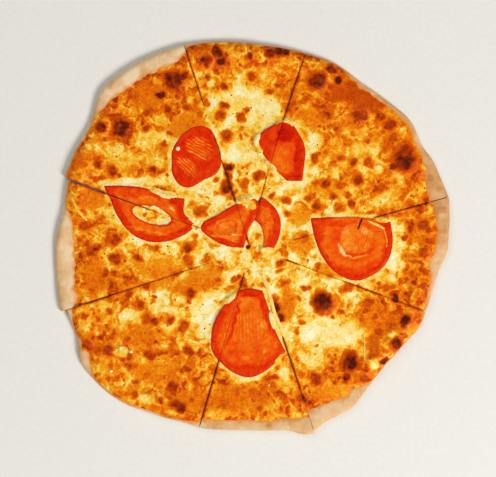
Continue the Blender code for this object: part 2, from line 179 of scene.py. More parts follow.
# %% [markdown]
# Cheese browns by chance, so every field below needs a random pattern that is the same each run.
# Blender has noise textures, but a mesh modelled in Python can't ask a shader for its value. A
# lattice of seeded random numbers, blended smoothly between its points, gives such a field for
# thousands of points at once. Its size is the real size of the blotches that it should draw. Each
# seed turns its lattice by an angle of its own, so that the patterns don't line up.

# %% A seeded mottle for meshes
LATTICE = 64
TURN_PER_SEED = 37


def mottle(x, y, size, seed):
    """Random blotches of about that size in metres, as values from -1 to 1."""
    lattice = np.random.default_rng(seed).uniform(-1, 1, (LATTICE, LATTICE))
    turned = math.radians(TURN_PER_SEED * seed)
    across = (x * math.cos(turned) - y * math.sin(turned)) / size
    along = (x * math.sin(turned) + y * math.cos(turned)) / size
    column, row = np.floor(across).astype(int), np.floor(along).astype(int)
    right, up = smooth(across - column), smooth(along - row)
    left_column, right_column = column % LATTICE, (column + 1) % LATTICE
    low_row, high_row = row % LATTICE, (row + 1) % LATTICE
    low = lattice[left_column, low_row] * (1 - right) + lattice[right_column, low_row] * right
    high = lattice[left_column, high_row] * (1 - right) + lattice[right_column, high_row] * right
    return low * (1 - up) + high * up


print("mottle at the hub:", round(float(mottle(np.array([HUB[0]]), np.array([HUB[1]]), 5 * MM, 1)[0]), 3))

# %% [markdown]
# The camera hangs straight over the pizza, as a cook would look down on it. A long lens keeps the
# edge from leaning. The lens follows from the width that the picture takes in and the distance.

# %% Camera
PICTURE_WIDTH = 377 * MM
PICTURE_MIDDLE = (-3.3 * MM, -0.5 * MM)
CAMERA_HEIGHT = 1.5
CHEESE_HEIGHT = 6 * MM
SENSOR_MM = 36


def hang_camera():
    """A camera straight above, with the lens that takes in the picture's width at the cheese."""
    data = bpy.data.cameras.new("overhead_camera")
    data.sensor_width = SENSOR_MM
    data.lens = SENSOR_MM * (CAMERA_HEIGHT - CHEESE_HEIGHT) / PICTURE_WIDTH
    camera = bpy.data.objects.new("overhead_camera", data)
    camera.location = (*PICTURE_MIDDLE, CAMERA_HEIGHT)
    bpy.context.scene.collection.objects.link(camera)
    bpy.context.scene.camera = camera
    print("lens:", round(data.lens, 1), "mm, at a height of", CAMERA_HEIGHT, "m")


hang_camera()

# %% [markdown]
# Soft studio light: one large softbox to the right on the near side, so that the pizza's shadow
# falls to the upper left, a weaker one opposite, and a pale room all round. Big lamps give the
# oily cheese broad, gentle highlights. The floor is plain pale card, a hair's breadth below the
# pizza, since two surfaces in one plane flicker.

# %% Light and floor
KEY_LIGHT = {"place": (1.4, -1.3, 1.9), "size": 1.0, "watts": 62}
FILL_LIGHT = {"place": (-1.5, 1.5, 2.2), "size": 1.8, "watts": 22}
ROOM_BRIGHTNESS = 0.28
FLOOR_RADIUS = 4.0
FLOOR_DROP = 0.05 * MM


def linear(hex_colour):
    """An sRGB hex colour as linear red, green, blue and full alpha."""
    parts = [int(hex_colour[i:i + 2], 16) / 255 for i in (1, 3, 5)]
    return [p / 12.92 if p <= 0.04045 else ((p + 0.055) / 1.055) ** 2.4 for p in parts] + [1]


def hang_softbox(name, place, size, watts):
    """A square lamp that faces the middle of the pizza."""
    data = bpy.data.lights.new(name, "AREA")
    data.size = size
    data.energy = watts
    lamp = bpy.data.objects.new(name, data)
    lamp.location = place
    east, north, up = place
    lamp.rotation_euler = (math.atan2(math.hypot(east, north), up), 0, math.atan2(north, east) + math.pi / 2)
    bpy.context.scene.collection.objects.link(lamp)


def light_room():
    """An even, faintly warm light from all round."""
    world = bpy.data.worlds.new("pale_room")
    world.use_nodes = True
    background = world.node_tree.nodes["Background"]
    background.inputs["Color"].default_value = linear("#FFFDF8")
    background.inputs["Strength"].default_value = ROOM_BRIGHTNESS
    bpy.context.scene.world = world
    bpy.context.scene.view_settings.view_transform = "Standard"


hang_softbox("key_softbox", **KEY_LIGHT)
hang_softbox("fill_softbox", **FILL_LIGHT)
light_room()

# %% [markdown]
# A finish is a graph of shader nodes. One small function adds a node, gives its sockets a value or
# a link, and sets its options. Colour stops are given as hex values, the way a designer notes them.
# The first finish is the plain card of the floor.

# %% A helper for finishes, and the floor


def add(tree, kind, sockets, stops=(), **options):
    """Adds a node: sockets maps an input to a value or to another node's output."""
    node = tree.nodes.new(kind)
    for option, value in options.items():
        setattr(node, option, value)
    for socket, value in sockets.items():
        if isinstance(value, bpy.types.NodeSocket):
            tree.links.new(value, node.inputs[socket])
        else:
            node.inputs[socket].default_value = value
    if stops:
        marks = node.color_ramp.elements
        marks.remove(marks[1])
        marks[0].position, marks[0].color = stops[0][0], linear(stops[0][1])
        for place, colour in stops[1:]:
            marks.new(place).color = linear(colour)
    return node


def new_finish(name):
    """A material with only its output, and its node tree."""
    material = bpy.data.materials.new(name)
    material.use_nodes = True
    tree = material.node_tree
    tree.nodes.remove(tree.nodes["Principled BSDF"])
    return material, tree


def per_metre(size_in_mm):
    """The texture scale that draws features of this size."""
    return 1000 / size_in_mm


def pale_card():
    """Matt card: nothing but a faint fibre, so that it stays plain."""
    material, tree = new_finish("pale_card")
    place = add(tree, "ShaderNodeTexCoord", {}).outputs["Object"]
    fibre = add(tree, "ShaderNodeTexNoise", {"Vector": place, "Scale": per_metre(3)})
    tone = add(tree, "ShaderNodeValToRGB", {0: fibre.outputs[0]}, stops=[(0.3, "#E6E3DC"), (0.7, "#EAE7E1")])
    shader = add(tree, "ShaderNodeBsdfPrincipled", {"Base Color": tone.outputs[0], "Roughness": 0.9})
    tree.links.new(shader.outputs[0], tree.nodes["Material Output"].inputs["Surface"])
    return material


def lay_floor():
    """A wide disc of card, which is stage and no part of the pizza."""
    bpy.ops.mesh.primitive_circle_add(vertices=64, radius=FLOOR_RADIUS, fill_type="NGON",
                                      location=(0, 0, -FLOOR_DROP))
    floor = bpy.context.object
    floor.name = "floor"
    floor.data.materials.append(pale_card())


lay_floor()
print("floor radius:", FLOOR_RADIUS, "m")

# %% [markdown]
# The tomato was laid on before baking, so the cheese flowed up to its edge and set there. The
# outlines are those of the solids: a few points on each, joined by a smooth curve that breaks at
# the sharp corners. The curve is the one that Blender draws with automatic handles, worked out
# here with numpy so that its points can be measured from.

# %% Tomato outlines
TOMATO_BASE = 4.6 * MM

# Each tomato slice: its thickness in mm, its outline, and which of its points are sharp corners
TOMATOES = {
    "tomato_upper_left": (3.5, [
        (-61.3, 60.7), (-59.6, 69.1), (-49.9, 81.2), (-39.8, 85.0), (-32.2, 82.8), (-26.9, 73.6),
        (-23.5, 59.2), (-26.9, 49.3), (-37.9, 43.7), (-48.9, 38.3), (-58.1, 43.2)], ()),
    "tomato_upper_right": (4.3, [
        (26.1, 88.4), (14.6, 84.6), (3.2, 73.4), (8.0, 64.3), (17.2, 52.6), (26.4, 43.6),
        (37.6, 43.4), (39.0, 54.6), (39.8, 67.5), (35.1, 78.9)], (5, 6)),
    "tomato_left": (3.7, [
        (-113.0, 39.6), (-97.1, 39.2), (-80.0, 37.2), (-70.0, 32.4), (-51.6, 29.6), (-51.3, 17.5),
        (-44.2, 11.2), (-55.5, 0.6), (-71.5, -3.3), (-84.0, -1.0), (-94.6, 6.0), (-103.4, 18.6),
        (-107.4, 28.6)], (0, 4)),
    "tomato_middle": (4.0, [
        (-39.1, 8.5), (-27.4, 16.4), (-12.8, 25.2), (-1.8, 29.6), (4.2, 27.3), (2.9, 16.4),
        (-2.6, 7.4), (-6.8, -7.4), (-19.0, -6.2), (-32.2, 0.4)], (7,)),
    "tomato_crescent": (4.2, [
        (5.5, 30.3), (13.0, 26.5), (19.9, 17.6), (21.2, 6.9), (18.8, -2.8), (15.4, -9.2),
        (8.2, -8.4), (8.8, 2.0), (6.2, 9.6), (2.3, 14.5)], (5, 6)),
    "tomato_right": (3.9, [
        (44.4, 14.6), (62.8, 15.6), (82.8, 15.2), (104.8, 12.2), (106.2, -6.0), (100.2, -21.0),
        (90.6, -28.4), (79.1, -32.3), (67.0, -28.4), (55.0, -16.8), (47.8, -1.0)], (0, 3)),
    "tomato_bottom": (4.1, [
        (-9.4, -40.4), (-0.3, -38.8), (7.6, -40.4), (11.9, -53.0), (17.0, -70.0), (24.8, -86.2),
        (17.9, -94.0), (8.8, -101.6), (-1.8, -105.7), (-13.2, -102.7), (-23.1, -95.1),
        (-30.3, -86.0), (-31.1, -77.6), (-29.2, -65.4), (-21.6, -51.8), (-14.7, -44.9)], (2, 5)),
}
CURVE_STEPS = 3

# An automatic handle is as long as the distance to the next point divided by this
HANDLE_DIVISOR = 2.5614
CURVE_PULL = 3 / HANDLE_DIVISOR


def smooth_outline(points, corners):
    """A closed curve in metres: smooth through the points, with a kink at the corners."""
    knots = np.array(points) * MM
    ahead = np.roll(knots, -1, axis=0) - knots
    behind = knots - np.roll(knots, 1, axis=0)
    far_ahead, far_behind = (np.linalg.norm(step, axis=1, keepdims=True) for step in (ahead, behind))
    direction = ahead / far_ahead + behind / far_behind
    direction /= np.linalg.norm(direction, axis=1, keepdims=True)
    leaving, arriving = CURVE_PULL * far_ahead * direction, CURVE_PULL * far_behind * direction
    for number in corners:
        leaving[number], arriving[number] = ahead[number], behind[number]
    after, arriving_after = np.roll(knots, -1, axis=0), np.roll(arriving, -1, axis=0)
    curve = []
    for t in np.arange(CURVE_STEPS) / CURVE_STEPS:
        curve.append((2 * t**3 - 3 * t**2 + 1) * knots + (t**3 - 2 * t**2 + t) * leaving
                     + (3 * t**2 - 2 * t**3) * after + (t**3 - t**2) * arriving_after)
    return np.stack(curve, axis=1).reshape(-1, 2)


CURVES = {name: smooth_outline(points, corners) for name, (_, points, corners) in TOMATOES.items()}
print("tomato outlines:", {name: len(curve) for name, curve in CURVES.items()})

# %% [markdown]
# Everything near a tomato slice depends on how far it is from the slice's edge, inside or out: the
# red skin, the pale ring of cheese round it, and the pocket under it. A point is inside a closed
# outline when a line from it crosses the outline an odd number of times, and its distance is that
# to the nearest stretch. The left slice has a seed chamber that goes right through it.

# %% Distance from the edge of a tomato slice
FAR_AWAY = 1.0

# The seed chamber of the left slice: its middle and half sizes in mm, and its turn in degrees
LEFT_CHAMBER = (-76.3, 17.2, 15.5, 6.5, -17)


def distance_inside(x, y, outline):
    """How far each point is inside a closed outline, negative outside it."""
    nearest = np.full(x.shape, FAR_AWAY)
    crossings = np.zeros(x.shape, int)
    for (x0, y0), (x1, y1) in zip(outline, np.roll(outline, -1, axis=0)):
        share = ((x - x0) * (x1 - x0) + (y - y0) * (y1 - y0)) / ((x1 - x0) ** 2 + (y1 - y0) ** 2)
        share = np.clip(share, 0, 1)
        nearest = np.minimum(nearest, np.hypot(x - x0 - share * (x1 - x0), y - y0 - share * (y1 - y0)))
        if y0 != y1:
            crossings += ((y0 > y) != (y1 > y)) & (x < x0 + (y - y0) / (y1 - y0) * (x1 - x0))
    return np.where(crossings % 2 == 1, nearest, -nearest)


def oval(x, y, middle_x, middle_y, half_length, half_width, turn=0.0):
    """0 in the middle of an oval given in mm, 1 on its edge, and more outside."""
    angle = math.radians(turn)
    across, along = x / MM - middle_x, y / MM - middle_y
    u = (across * math.cos(angle) + along * math.sin(angle)) / half_length
    v = (along * math.cos(angle) - across * math.sin(angle)) / half_width
    return np.hypot(u, v)


def outside_chamber(x, y):
    """How far each point is outside the seed chamber of the left slice, negative in it."""
    return (oval(x, y, *LEFT_CHAMBER) - 1) * LEFT_CHAMBER[3] * MM


def tomato_top(name):
    """Height of the top of a tomato slice."""
    return TOMATO_BASE + TOMATOES[name][0] * MM


def nearest_tomato(x, y):
    """How far each point is inside the nearest tomato slice, and how high that slice's top is."""
    inside = np.full(x.shape, -FAR_AWAY)
    top = np.full(x.shape, TOMATO_BASE)
    for name, curve in CURVES.items():
        here = distance_inside(x, y, curve)
        if name == "tomato_left":
            here = np.minimum(here, outside_chamber(x, y))
        top = np.where(here > inside, tomato_top(name), top)
        inside = np.maximum(inside, here)
    return inside, top


print("tomato tops in mm:", {name: round(tomato_top(name) / MM, 1) for name in TOMATOES})

# %% [markdown]
# Browning is one number at each point of the cheese: 0 is pale melted mozzarella, a half is orange
# from oil and sauce, and 1 is a scorched blister. On the real pizza it depends on how thick and
# how wet the cheese was. It could be painted by hand. Here the pools that stayed pale and the
# stretches that went evenly orange are placed one by one, as ovals with a middle and a size.

# %% Where the cheese is pale or plain orange
# Pale pools: middle and half sizes in mm, and how pale
PALE_POOLS = [
    (-5, 99, 28.9, 16.7, 1), (-7, 65, 14.4, 8.4, 1), (63, -72, 22.8, 12.9, 1), (93, 68, 5.3, 5.3, 0.8),
    (96, 52, 3.8, 3, 0.9), (95, 27, 6.1, 4.6, 0.9), (34, 39, 4.6, 3.8, 1), (45, 52, 4.6, 3.8, 0.8),
    (49, 74, 6.1, 4.6, 0.8), (105, -17, 4.6, 10.6, 0.9), (-35, -61, 8.4, 14.4, 0.95),
    (-8, -105, 13, 3.4, 0.75), (24, -103, 5.3, 6.1, 0.8), (-104, 67, 6.1, 5.3, 0.9), (-90, 42, 25.8, 3.8, 1),
    (-101, 14, 5.3, 3.8, 0.6), (-86, -2, 8.4, 3.8, 0.8), (-61, -9, 6.1, 4.6, 0.8), (-25, 26, 6.8, 6.1, 1),
    (-6, -17, 5.3, 6.8, 0.9), (-91, -59, 5.3, 3.8, 0.8), (-68, -54, 9.1, 3.8, 0.8),
    (-64, -68, 4.6, 4.6, 0.7), (-31, 118, 3.8, 3.8, 0.9), (76, -43, 4.6, 2.3, 0.9), (107, -74, 4.6, 3, 0.8),
    (93, -95, 5.3, 5.3, 0.8), (40, -38, 12.2, 10.6, 0.6), (44, 67, 7.6, 13.7, 0.55),
    (21, 36, 15.2, 10.6, 0.6), (34, 12, 10, 8, 0.2), (4, 9, 4.6, 6.8, 0.8), (-43, 39, 10.6, 6.1, 0.55),
    (-76, 74, 12.2, 7.6, 0.5), (-122, 67, 7.6, 6.1, 0.45), (63, 67, 12.2, 7.6, 0.35),
    (25, -81, 6.1, 9.1, 0.6), (12, -18, 10.6, 7.6, 0.5), (-16, -30, 6, 6, 0.4),
    (-78, 59, 13.7, 7.6, 0.5), (-116, 25, 7.6, 6.8, 0.35), (-70, 10, 7.6, 4.6, 0.5),
    (-101, -87, 6.8, 3, 0.8), (-114, -101, 6.1, 2.3, 0.5), (-88, -100, 6.8, 3, 0.4),
    (30, -14, 8, 6, 0.3), (70, 50, 15.2, 6.8, 0.3), (80, 25, 18.2, 5.3, 0.5),
    (-43, -47, 10.6, 6.1, 0.3), (49, -51, 16.7, 12.2, 0.5), (36, -104, 6.1, 7.6, 0.5),
    (-57, 55, 4.6, 10.6, 0.7), (-38, 110, 4.6, 4.6, 0.6), (-2, 120, 13.7, 5.3, 0.35),
    (-100, 60, 15, 7, 0.5), (-108, 10, 9, 10, 0.35), (-97, -22, 9, 6, 0.45), (90, 60, 14, 15, 0.3),
    (78, 34, 14, 8, 0.4), (110, 2, 8, 13, 0.5), (106, 30, 14, 9, 0.35), (45, -90, 11, 9, 0.6),
    (80, -84, 10, 8, 0.4), (60, -118, 14, 7, 0.4), (100, -30, 7, 6, 0.6), (5, 126, 8, 7, 0.45),
    (-46, -62, 10, 7, 0.5), (-68, -18, 12, 6, 0.4), (-20, 42, 12, 6, 0.5), (6, 50, 7, 6, 0.6),
    (36, 104, 15, 7, 0.35), (-72, 88, 8, 8, 0.35), (-62, 68, 6, 8, 0.4), (-98, -104, 14, 5, 0.5),
    (-72, -122, 14, 5, 0.5), (-105, 13, 10, 9, 0.5), (-110, -17, 7, 12, 0.5), (-97, -5, 8, 5, 0.5),
    (-90, -60, 13, 6, 0.5), (-56, -60, 7, 7, 0.55), (-72, -97, 15, 6, 0.35), (-24, -117, 10, 5, 0.3),
    (47, -92, 9, 8, 0.7), (27, -112, 8, 6, 0.55), (-22, -134, 12, 4, 0.5), (30, -137, 12, 4, 0.4),
    (78, 80, 9, 7, 0.5), (84, 68, 8, 5, 0.5), (114, 45, 8, 8, 0.5), (-9, 80, 7, 5, 0.6),
    (3, 53, 5, 6, 0.8), (-20, 43, 8, 7, 0.6), (-45, 27, 6, 8, 0.5), (90, 24, 10, 5, 0.5),
    (-36, 108, 9, 8, 0.35), (1, 127, 8, 6, 0.4), (-112, 84, 8, 8, 0.4), (-130, 45, 6, 10, 0.4),
    (-128, -62, 6, 12, 0.45), (-112, -100, 10, 6, 0.45), (62, -75, 12, 7, 1), (0, -128, 16, 5, 0.35),
]

# Plain stretches: middle and half sizes in mm, their browning, and how plain they are
PLAIN_STRETCHES = [
    (-12, -122, 24.3, 10.6, 0.50, 0.5), (92, -80, 6.1, 7.6, 0.55, 0.5), (-79, 108, 13.7, 10.6, 0.52, 0.5),
    (-131, 59, 6.8, 6.1, 0.55, 0.5), (-119, -28, 9.1, 15.2, 0.52, 0.5), (-122, 30, 9.1, 7.6, 0.50, 0.5),
    (-89, -74, 15.2, 7.6, 0.44, 0.5), (-74, -102, 16.7, 7.6, 0.45, 0.5), (70, 111, 12, 8, 0.66, 0.7),
    (-48, 84, 12.5, 9.5, 0.42, 0.95), (88, 104, 16.7, 9.1, 0.64, 0.7), (-70, -24, 15.2, 9.1, 0.46, 0.5),
    (-34, -31, 14, 9, 0.44, 0.6), (93, -62, 16.7, 9.1, 0.52, 0.4), (-6, -41, 6.8, 6.8, 0.42, 0.5),
    (-47, -123, 13.7, 7.6, 0.46, 0.5), (63, -119, 19.8, 6.8, 0.45, 0.5), (-8, 102.5, 6, 5, 0.20, 0.8),
    (53.3, -66.2, 4.5, 2.5, 0.22, 0.6), (38, -5, 9, 9, 0.40, 0.6), (36, 16, 8, 7, 0.38, 0.6),
    (-88, -36, 14, 5, 0.46, 0.4), (27, -51, 6, 13, 0.48, 0.6), (46, 90, 9, 7, 0.42, 0.6),
    (-26, 92, 6, 8, 0.40, 0.5), (-5, 69, 7, 4, 0.34, 0.5), (60, 35, 12, 6, 0.38, 0.4),
    (-68, -35, 9, 5, 0.44, 0.5), (-50, -38, 10, 8, 0.48, 0.5), (60, -25, 11, 7, 0.45, 0.45),
    (64, -75, 13, 7, 0.09, 0.65), (-3, 63, 6, 5, 0.11, 0.5),
]

# An oval is whole up to OVAL_FULL of its size and gone at OVAL_GONE
OVAL_FULL, OVAL_GONE = 0.7, 1.3


def ovals(x, y, table):
    """The strongest of a table of soft-edged ovals at each point."""
    strongest = np.zeros_like(x)
    for *shape, strength in table:
        share = smooth((OVAL_GONE - oval(x, y, *shape)) / (OVAL_GONE - OVAL_FULL))
        strongest = np.maximum(strongest, strength * share)
    return strongest


print("pale pools:", len(PALE_POOLS), "plain stretches:", len(PLAIN_STRETCHES))

# %% [markdown]
# Blisters stood up into the heat and scorched, and the oil round them went rust-coloured. Those
# that catch the eye are placed one by one, each with a browning drawn from the range of its kind.
# Between them come small spots by chance, fewer where the cheese is pale. The square root spreads
# them evenly over the round pizza, which would otherwise have too many of them in the middle.

# %% Blisters and spots
# Scorched blisters and rust-coloured spots: middle and radius in mm
SCORCHED = [
    (-60, 120, 6.8), (49, 119, 6.2), (-35, 134, 3.8), (-27, 141, 3.8), (-24, 134, 3), (20, 142, 3.8),
    (26, 141, 2.7), (116, 60, 8.4), (54, -49, 6.8), (75, -95, 6.1), (71, -106, 3), (-58, -126, 3.4),
    (-55, -129, 3.4), (-100, 84, 6.2), (-116, 84, 3.8), (-70, 108, 3), (-51, 123, 3), (66, 120, 3),
    (60, 128, 3.2), (14, 139, 3.2), (-117, 56, 3), (110, -81, 4.6), (116, -63, 3.8), (-17, 54, 3),
    (-20, 39, 3.8), (18, -53, 3.6), (22, -60, 3), (100, -94, 2.3), (-3, 138, 2.3), (108, -45, 2.3),
]
RUST_SPOTS = [
    (82, 94, 4.6), (85, 91, 3), (104, 87, 4.6), (107, 77, 3.8), (102, 70, 3.8), (56, 41, 3.8),
    (67, 40, 3), (80, 44, 3.8), (99, 39, 3), (48, 61, 3), (89, 57, 3), (77, 57, 3), (67, 61, 3),
    (-24, 93, 3), (-21, 100, 2.7), (-9, 91, 3), (-19, 78, 3.8), (-21, 115, 2.3),
    (0, 123, 3), (-49, 99, 3), (-64, 97, 3), (-80, 83, 3), (-105, 101, 2.3), (-107, 51, 3.8), (-75, 52, 3),
    (-127, 9, 3.8), (-105, -2, 3.8), (-104, -16, 3.8), (-87, -15, 3), (-123, -9, 3.8), (-111, -27, 2.7),
    (-104, -27, 2.7), (-105, -38, 4.6), (-81, -38, 3), (-94, -43, 3), (-79, -62, 3.8), (-63, -62, 3),
    (-123, -82, 3.8), (-110, -85, 4.6), (-90, -119, 3), (-94, -90, 2.3), (-78, -89, 3.8), (-61, -113, 3),
    (-49, -8, 3.8), (-49, -18, 3.8), (-47, -43, 3.8), (-50, -85, 3), (17, -47, 3),
    (21, -19, 3), (39, 0, 3), (-7, 40, 3), (4, 47, 3), (87, -49, 3.8),
    (96, -71, 3), (73, -38, 3), (49, -107, 3.8), (85, -107, 3),
    (37, -122, 3), (127, 22, 3), (120, 7, 3), (121, -27, 3), (123, -34, 2.3),
    (129, -48, 2.3), (130, 10, 3.8), (135, -2, 3.8), (131, -11, 3.8), (73, 33, 2.3), (61, 31, 2.3),
    (43, 30, 2.3), (75, 26, 3), (49, 23, 2.7), (26, 29, 3), (15, 32, 2.3), (-39, 20, 3.8), (66, 23, 3),
    (-51, -66, 3), (120, 25, 3), (102, -38, 3), (-19, 47, 3), (-104, 106, 2.3), (91, -49, 2.3),
    (-69, -124, 2.3),
]
SCORCHED_LEVEL, RUST_LEVEL = (0.84, 0.92), (0.58, 0.74)

# The spots by chance: how many are drawn, their radius in mm, their browning, and how much a pale
# pool keeps them away
CHANCE_SPOTS = 330
CHANCE_RADIUS, CHANCE_LEVEL = (0.8, 2.3), (0.50, 0.66)
KEPT_FROM_POOLS = 0.75


def chance_places(draw, count, widest):
    """Places drawn evenly over a round field about the hub."""
    reach = widest * np.sqrt(draw.random(count))
    turn = 2 * math.pi * draw.random(count)
    return HUB[0] + reach * np.cos(turn), HUB[1] + reach * np.sin(turn)


def chance_spots():
    """Small seeded spots over the whole pizza, fewer where the cheese is pale."""
    draw = np.random.default_rng(11)
    x, y = chance_places(draw, CHANCE_SPOTS, NOMINAL_RADIUS)
    kept = draw.random(CHANCE_SPOTS) > KEPT_FROM_POOLS * ovals(x, y, PALE_POOLS)
    radius = draw.uniform(*CHANCE_RADIUS, CHANCE_SPOTS)
    level = draw.uniform(*CHANCE_LEVEL, CHANCE_SPOTS)
    return list(zip(x[kept] / MM, y[kept] / MM, radius[kept], level[kept]))


def placed_spots():
    """The placed spots, each with a browning drawn from the range of its kind."""
    draw = np.random.default_rng(12)
    spots = [(x, y, radius, draw.uniform(*SCORCHED_LEVEL)) for x, y, radius in SCORCHED]
    return spots + [(x, y, radius, draw.uniform(*RUST_LEVEL)) for x, y, radius in RUST_SPOTS]


SPOTS = placed_spots() + chance_spots()
print("spots:", len(SPOTS), "of which placed:", len(SCORCHED) + len(RUST_SPOTS))

# %% [markdown]
# The layers of browning are laid one over the other, as they came about in the oven: a tone that
# goes from creamy at the hub to orange at the rim, blotches in three sizes, pale curly veins where
# single shreds melted, the pools, the small patches that took colour, the plain stretches, and the
# spots on top. A spot has a rust-coloured halo and a darker core. Places are moved a little by the
# mottle before they are compared with an oval or a spot, so that none has a round edge.

# %% Browning of the cheese
# The base tone: creamy round the hub, orange towards the rim, with the change between two distances
CREAMY, ORANGE = 0.25, 0.45
ORANGE_FROM, ORANGE_BEYOND = 62 * MM, 112 * MM

# Blotches: size in mm and seed of each
BROAD, MIDDLING, SMALL = (10, 5), (4, 6), (1.8, 7)
POOL_TONE, POOL_COVER = 0.08, 0.92
VEIN_PALER, VEIN_THINNESS = 0.20, 5
PATCH_BROWNER, PATCH_FROM, PATCH_CHANGE = 0.22, 0.30, 0.25

# A spot in shares of its radius: where its halo and its core end, and how wide they fade
HALO_END, HALO_FADE = 1.7, 0.6
CORE_END, CORE_FADE = 1.2, 0.5

# The halo takes a share of the spot's browning and a little more. A spot swells by a share of its
# radius, and those that aren't scorched are less uneven
HALO_SHARE, HALO_LEAST = 0.55, 0.1
SPOT_SWELL = 0.10
RUST_UNEVEN = 0.7


def bent(x, y):
    """The places moved a little at random, so that round shapes get uneven edges."""
    bent_x = x + 1.5 * MM * mottle(x, y, 6 * MM, 1) + 0.8 * MM * mottle(x, y, 2.5 * MM, 2)
    bent_y = y + 1.5 * MM * mottle(x, y, 6 * MM, 3) + 0.8 * MM * mottle(x, y, 2.5 * MM, 4)
    return bent_x, bent_y


def add_spots(bent_x, bent_y, tone, uneven):
    """Browns the tone under each spot in place, and gives how far the spots swell in metres."""
    swell = np.zeros_like(tone)
    for spot_x, spot_y, radius, level in SPOTS:
        away = np.hypot(bent_x - spot_x * MM, bent_y - spot_y * MM) / (radius * MM)
        near = away < HALO_END
        halo = smooth((HALO_END - away[near]) / HALO_FADE)
        core = smooth((CORE_END - away[near]) / CORE_FADE)
        crust = level + uneven[near] * (1.0 if level > SCORCHED_LEVEL[0] else RUST_UNEVEN)
        tone[near] += np.maximum(HALO_SHARE * level + HALO_LEAST - tone[near], 0) * halo
        tone[near] += np.maximum(crust - tone[near], 0) * core
        swell[near] = np.maximum(swell[near], SPOT_SWELL * radius * MM * halo * level)
    return swell


def browning_and_swell(x, y):
    """The browning of the cheese, and how far its blisters swell in metres, at each point."""
    bent_x, bent_y = bent(x, y)
    pale = ovals(bent_x, bent_y, PALE_POOLS)
    plain = ovals(bent_x, bent_y, [(*shape, plainness) for *shape, _, plainness in PLAIN_STRETCHES])
    broad, middling, small = (mottle(x, y, size * MM, seed) for size, seed in (BROAD, MIDDLING, SMALL))
    outer = smooth((np.hypot(x - HUB[0], y - HUB[1]) - ORANGE_FROM) / (ORANGE_BEYOND - ORANGE_FROM))
    base = CREAMY + (ORANGE - CREAMY) * np.maximum(outer, plain)
    tone = base + (0.12 * broad + 0.10 * middling + 0.06 * small) * (1 - plain)
    vein = 1 - np.abs(mottle(bent_x, bent_y, 5.5 * MM, 8) + 0.4 * mottle(bent_x, bent_y, 2.6 * MM, 9))
    tone -= VEIN_PALER * np.clip(vein, 0, 1) ** VEIN_THINNESS * (1 - 0.8 * plain)
    tone += (POOL_TONE + 0.08 * broad + 0.06 * middling - tone) * POOL_COVER * pale
    patch = mottle(bent_x, bent_y, 4.5 * MM, 12) + 0.5 * mottle(bent_x, bent_y, 2.2 * MM, 13)
    patch = smooth((patch - PATCH_FROM) / PATCH_CHANGE)
    tone += PATCH_BROWNER * patch * (1 - 0.7 * pale) * (1 - 0.7 * plain)
    for *shape, level, plainness in PLAIN_STRETCHES:
        tone += (level - tone) * ovals(bent_x, bent_y, [(*shape, plainness)])
    swell = add_spots(bent_x, bent_y, tone, 0.12 * middling + 0.10 * small)
    return tone, swell


sample = browning_and_swell(np.linspace(-0.1, 0.1, 50), np.zeros(50))[0]
print("browning along the middle:", sample.min().round(2), "to", sample.max().round(2))

# %% [markdown]
# The knife left the cuts open in some stretches, and cheese ran together again in others. So each
# cut has a table of how wide it gapes. It also bows a little, and its line misses the hub by up to
# 3 mm, since four strokes by hand never cross in one point. Near the hub it bends in to the place
# where the slices meet.

# %% How the cuts run and gape
# Each cut: how wide it gapes in mm at distances from the hub in mm
GAPES = {
    1: [(0, 0.04), (30, 0.04), (34, 0.3), (48, 0.3), (52, 0.04), (96, 0.04), (100, 0.5), (150, 0.6)],
    2: [(0, 0.04), (18, 0.04), (22, 0.4), (38, 0.3), (40, 0.5), (55, 0.5), (58, 0.04), (92, 0.04),
        (97, 0.5), (110, 0.7), (138, 0.6), (148, 0.4)],
    3: [(0, 0.6), (4, 0.4), (7, 1.1), (10, 1.1), (12, 0.3), (36, 0.3), (39, 1.3), (42, 0.9), (66, 0.9),
        (72, 0.04), (112, 0.04), (118, 0.6), (150, 0.7), (165, 0.6)],
    4: [(0, 0.04), (36, 0.04), (40, 0.3), (46, 0.3), (50, 0.04), (80, 0.3), (87, 0.8), (100, 0.7),
        (118, 0.9), (122, 1.4), (146, 1.6)],
    5: [(0, 0.04), (30, 0.04), (34, 0.3), (60, 0.4), (105, 0.5), (112, 0.9), (130, 1.0), (134, 0.3),
        (150, 0.6)],
    6: [(0, 0.04), (17, 0.04), (20, 0.5), (31, 0.5), (36, 0.3), (76, 0.3), (80, 0.8), (135, 0.9),
        (143, 0.7)],
    7: [(0, 0.04), (70, 0.04), (74, 1.0), (98, 1.2), (106, 0.7), (122, 0.4), (128, 0.15), (140, 0.3),
        (152, 0.5)],
    8: [(0, 0.04), (27, 0.04), (30, 0.9), (37, 0.8), (40, 0.3), (75, 0.3), (84, 0.6), (104, 0.6),
        (108, 0.3), (130, 0.4), (143, 0.6)],
}
WIDEST_AT_TIP = 0.4


def cuts_beside(slice_number):
    """The cuts before and after a slice, anticlockwise."""
    return slice_number, slice_number % len(CUTS) + 1


def gape(cut, reach):
    """How wide a cut gapes, never more than the tip of a slice has room for."""
    return np.minimum(read_off(GAPES[cut], reach / MM) * MM, WIDEST_AT_TIP * reach)


def cut_offset(cut, reach):
    """How far a cut lies to the left of its own direction from the hub."""
    _, miss, bow = CUTS[cut]
    bowed = bow * np.sin(math.pi * np.minimum(reach / NOMINAL_RADIUS, 1))
    return (miss * smooth(reach / CUT_BEND) + bowed) * MM


print("widest gapes in mm:", {cut: max(row[1] for row in table) for cut, table in GAPES.items()})

# %% [markdown]
# A cut slice is a wedge between two knife strokes. Blender could cut a fine grid with a Boolean,
# but that leaves ragged triangles at the cuts. A fan of rows does better: row k has k + 1 points
# from one cut to the other, so the triangles keep about one size from the tip to the edge. The
# underside is the same fan with a quarter of the rows, since nobody sees it from above.

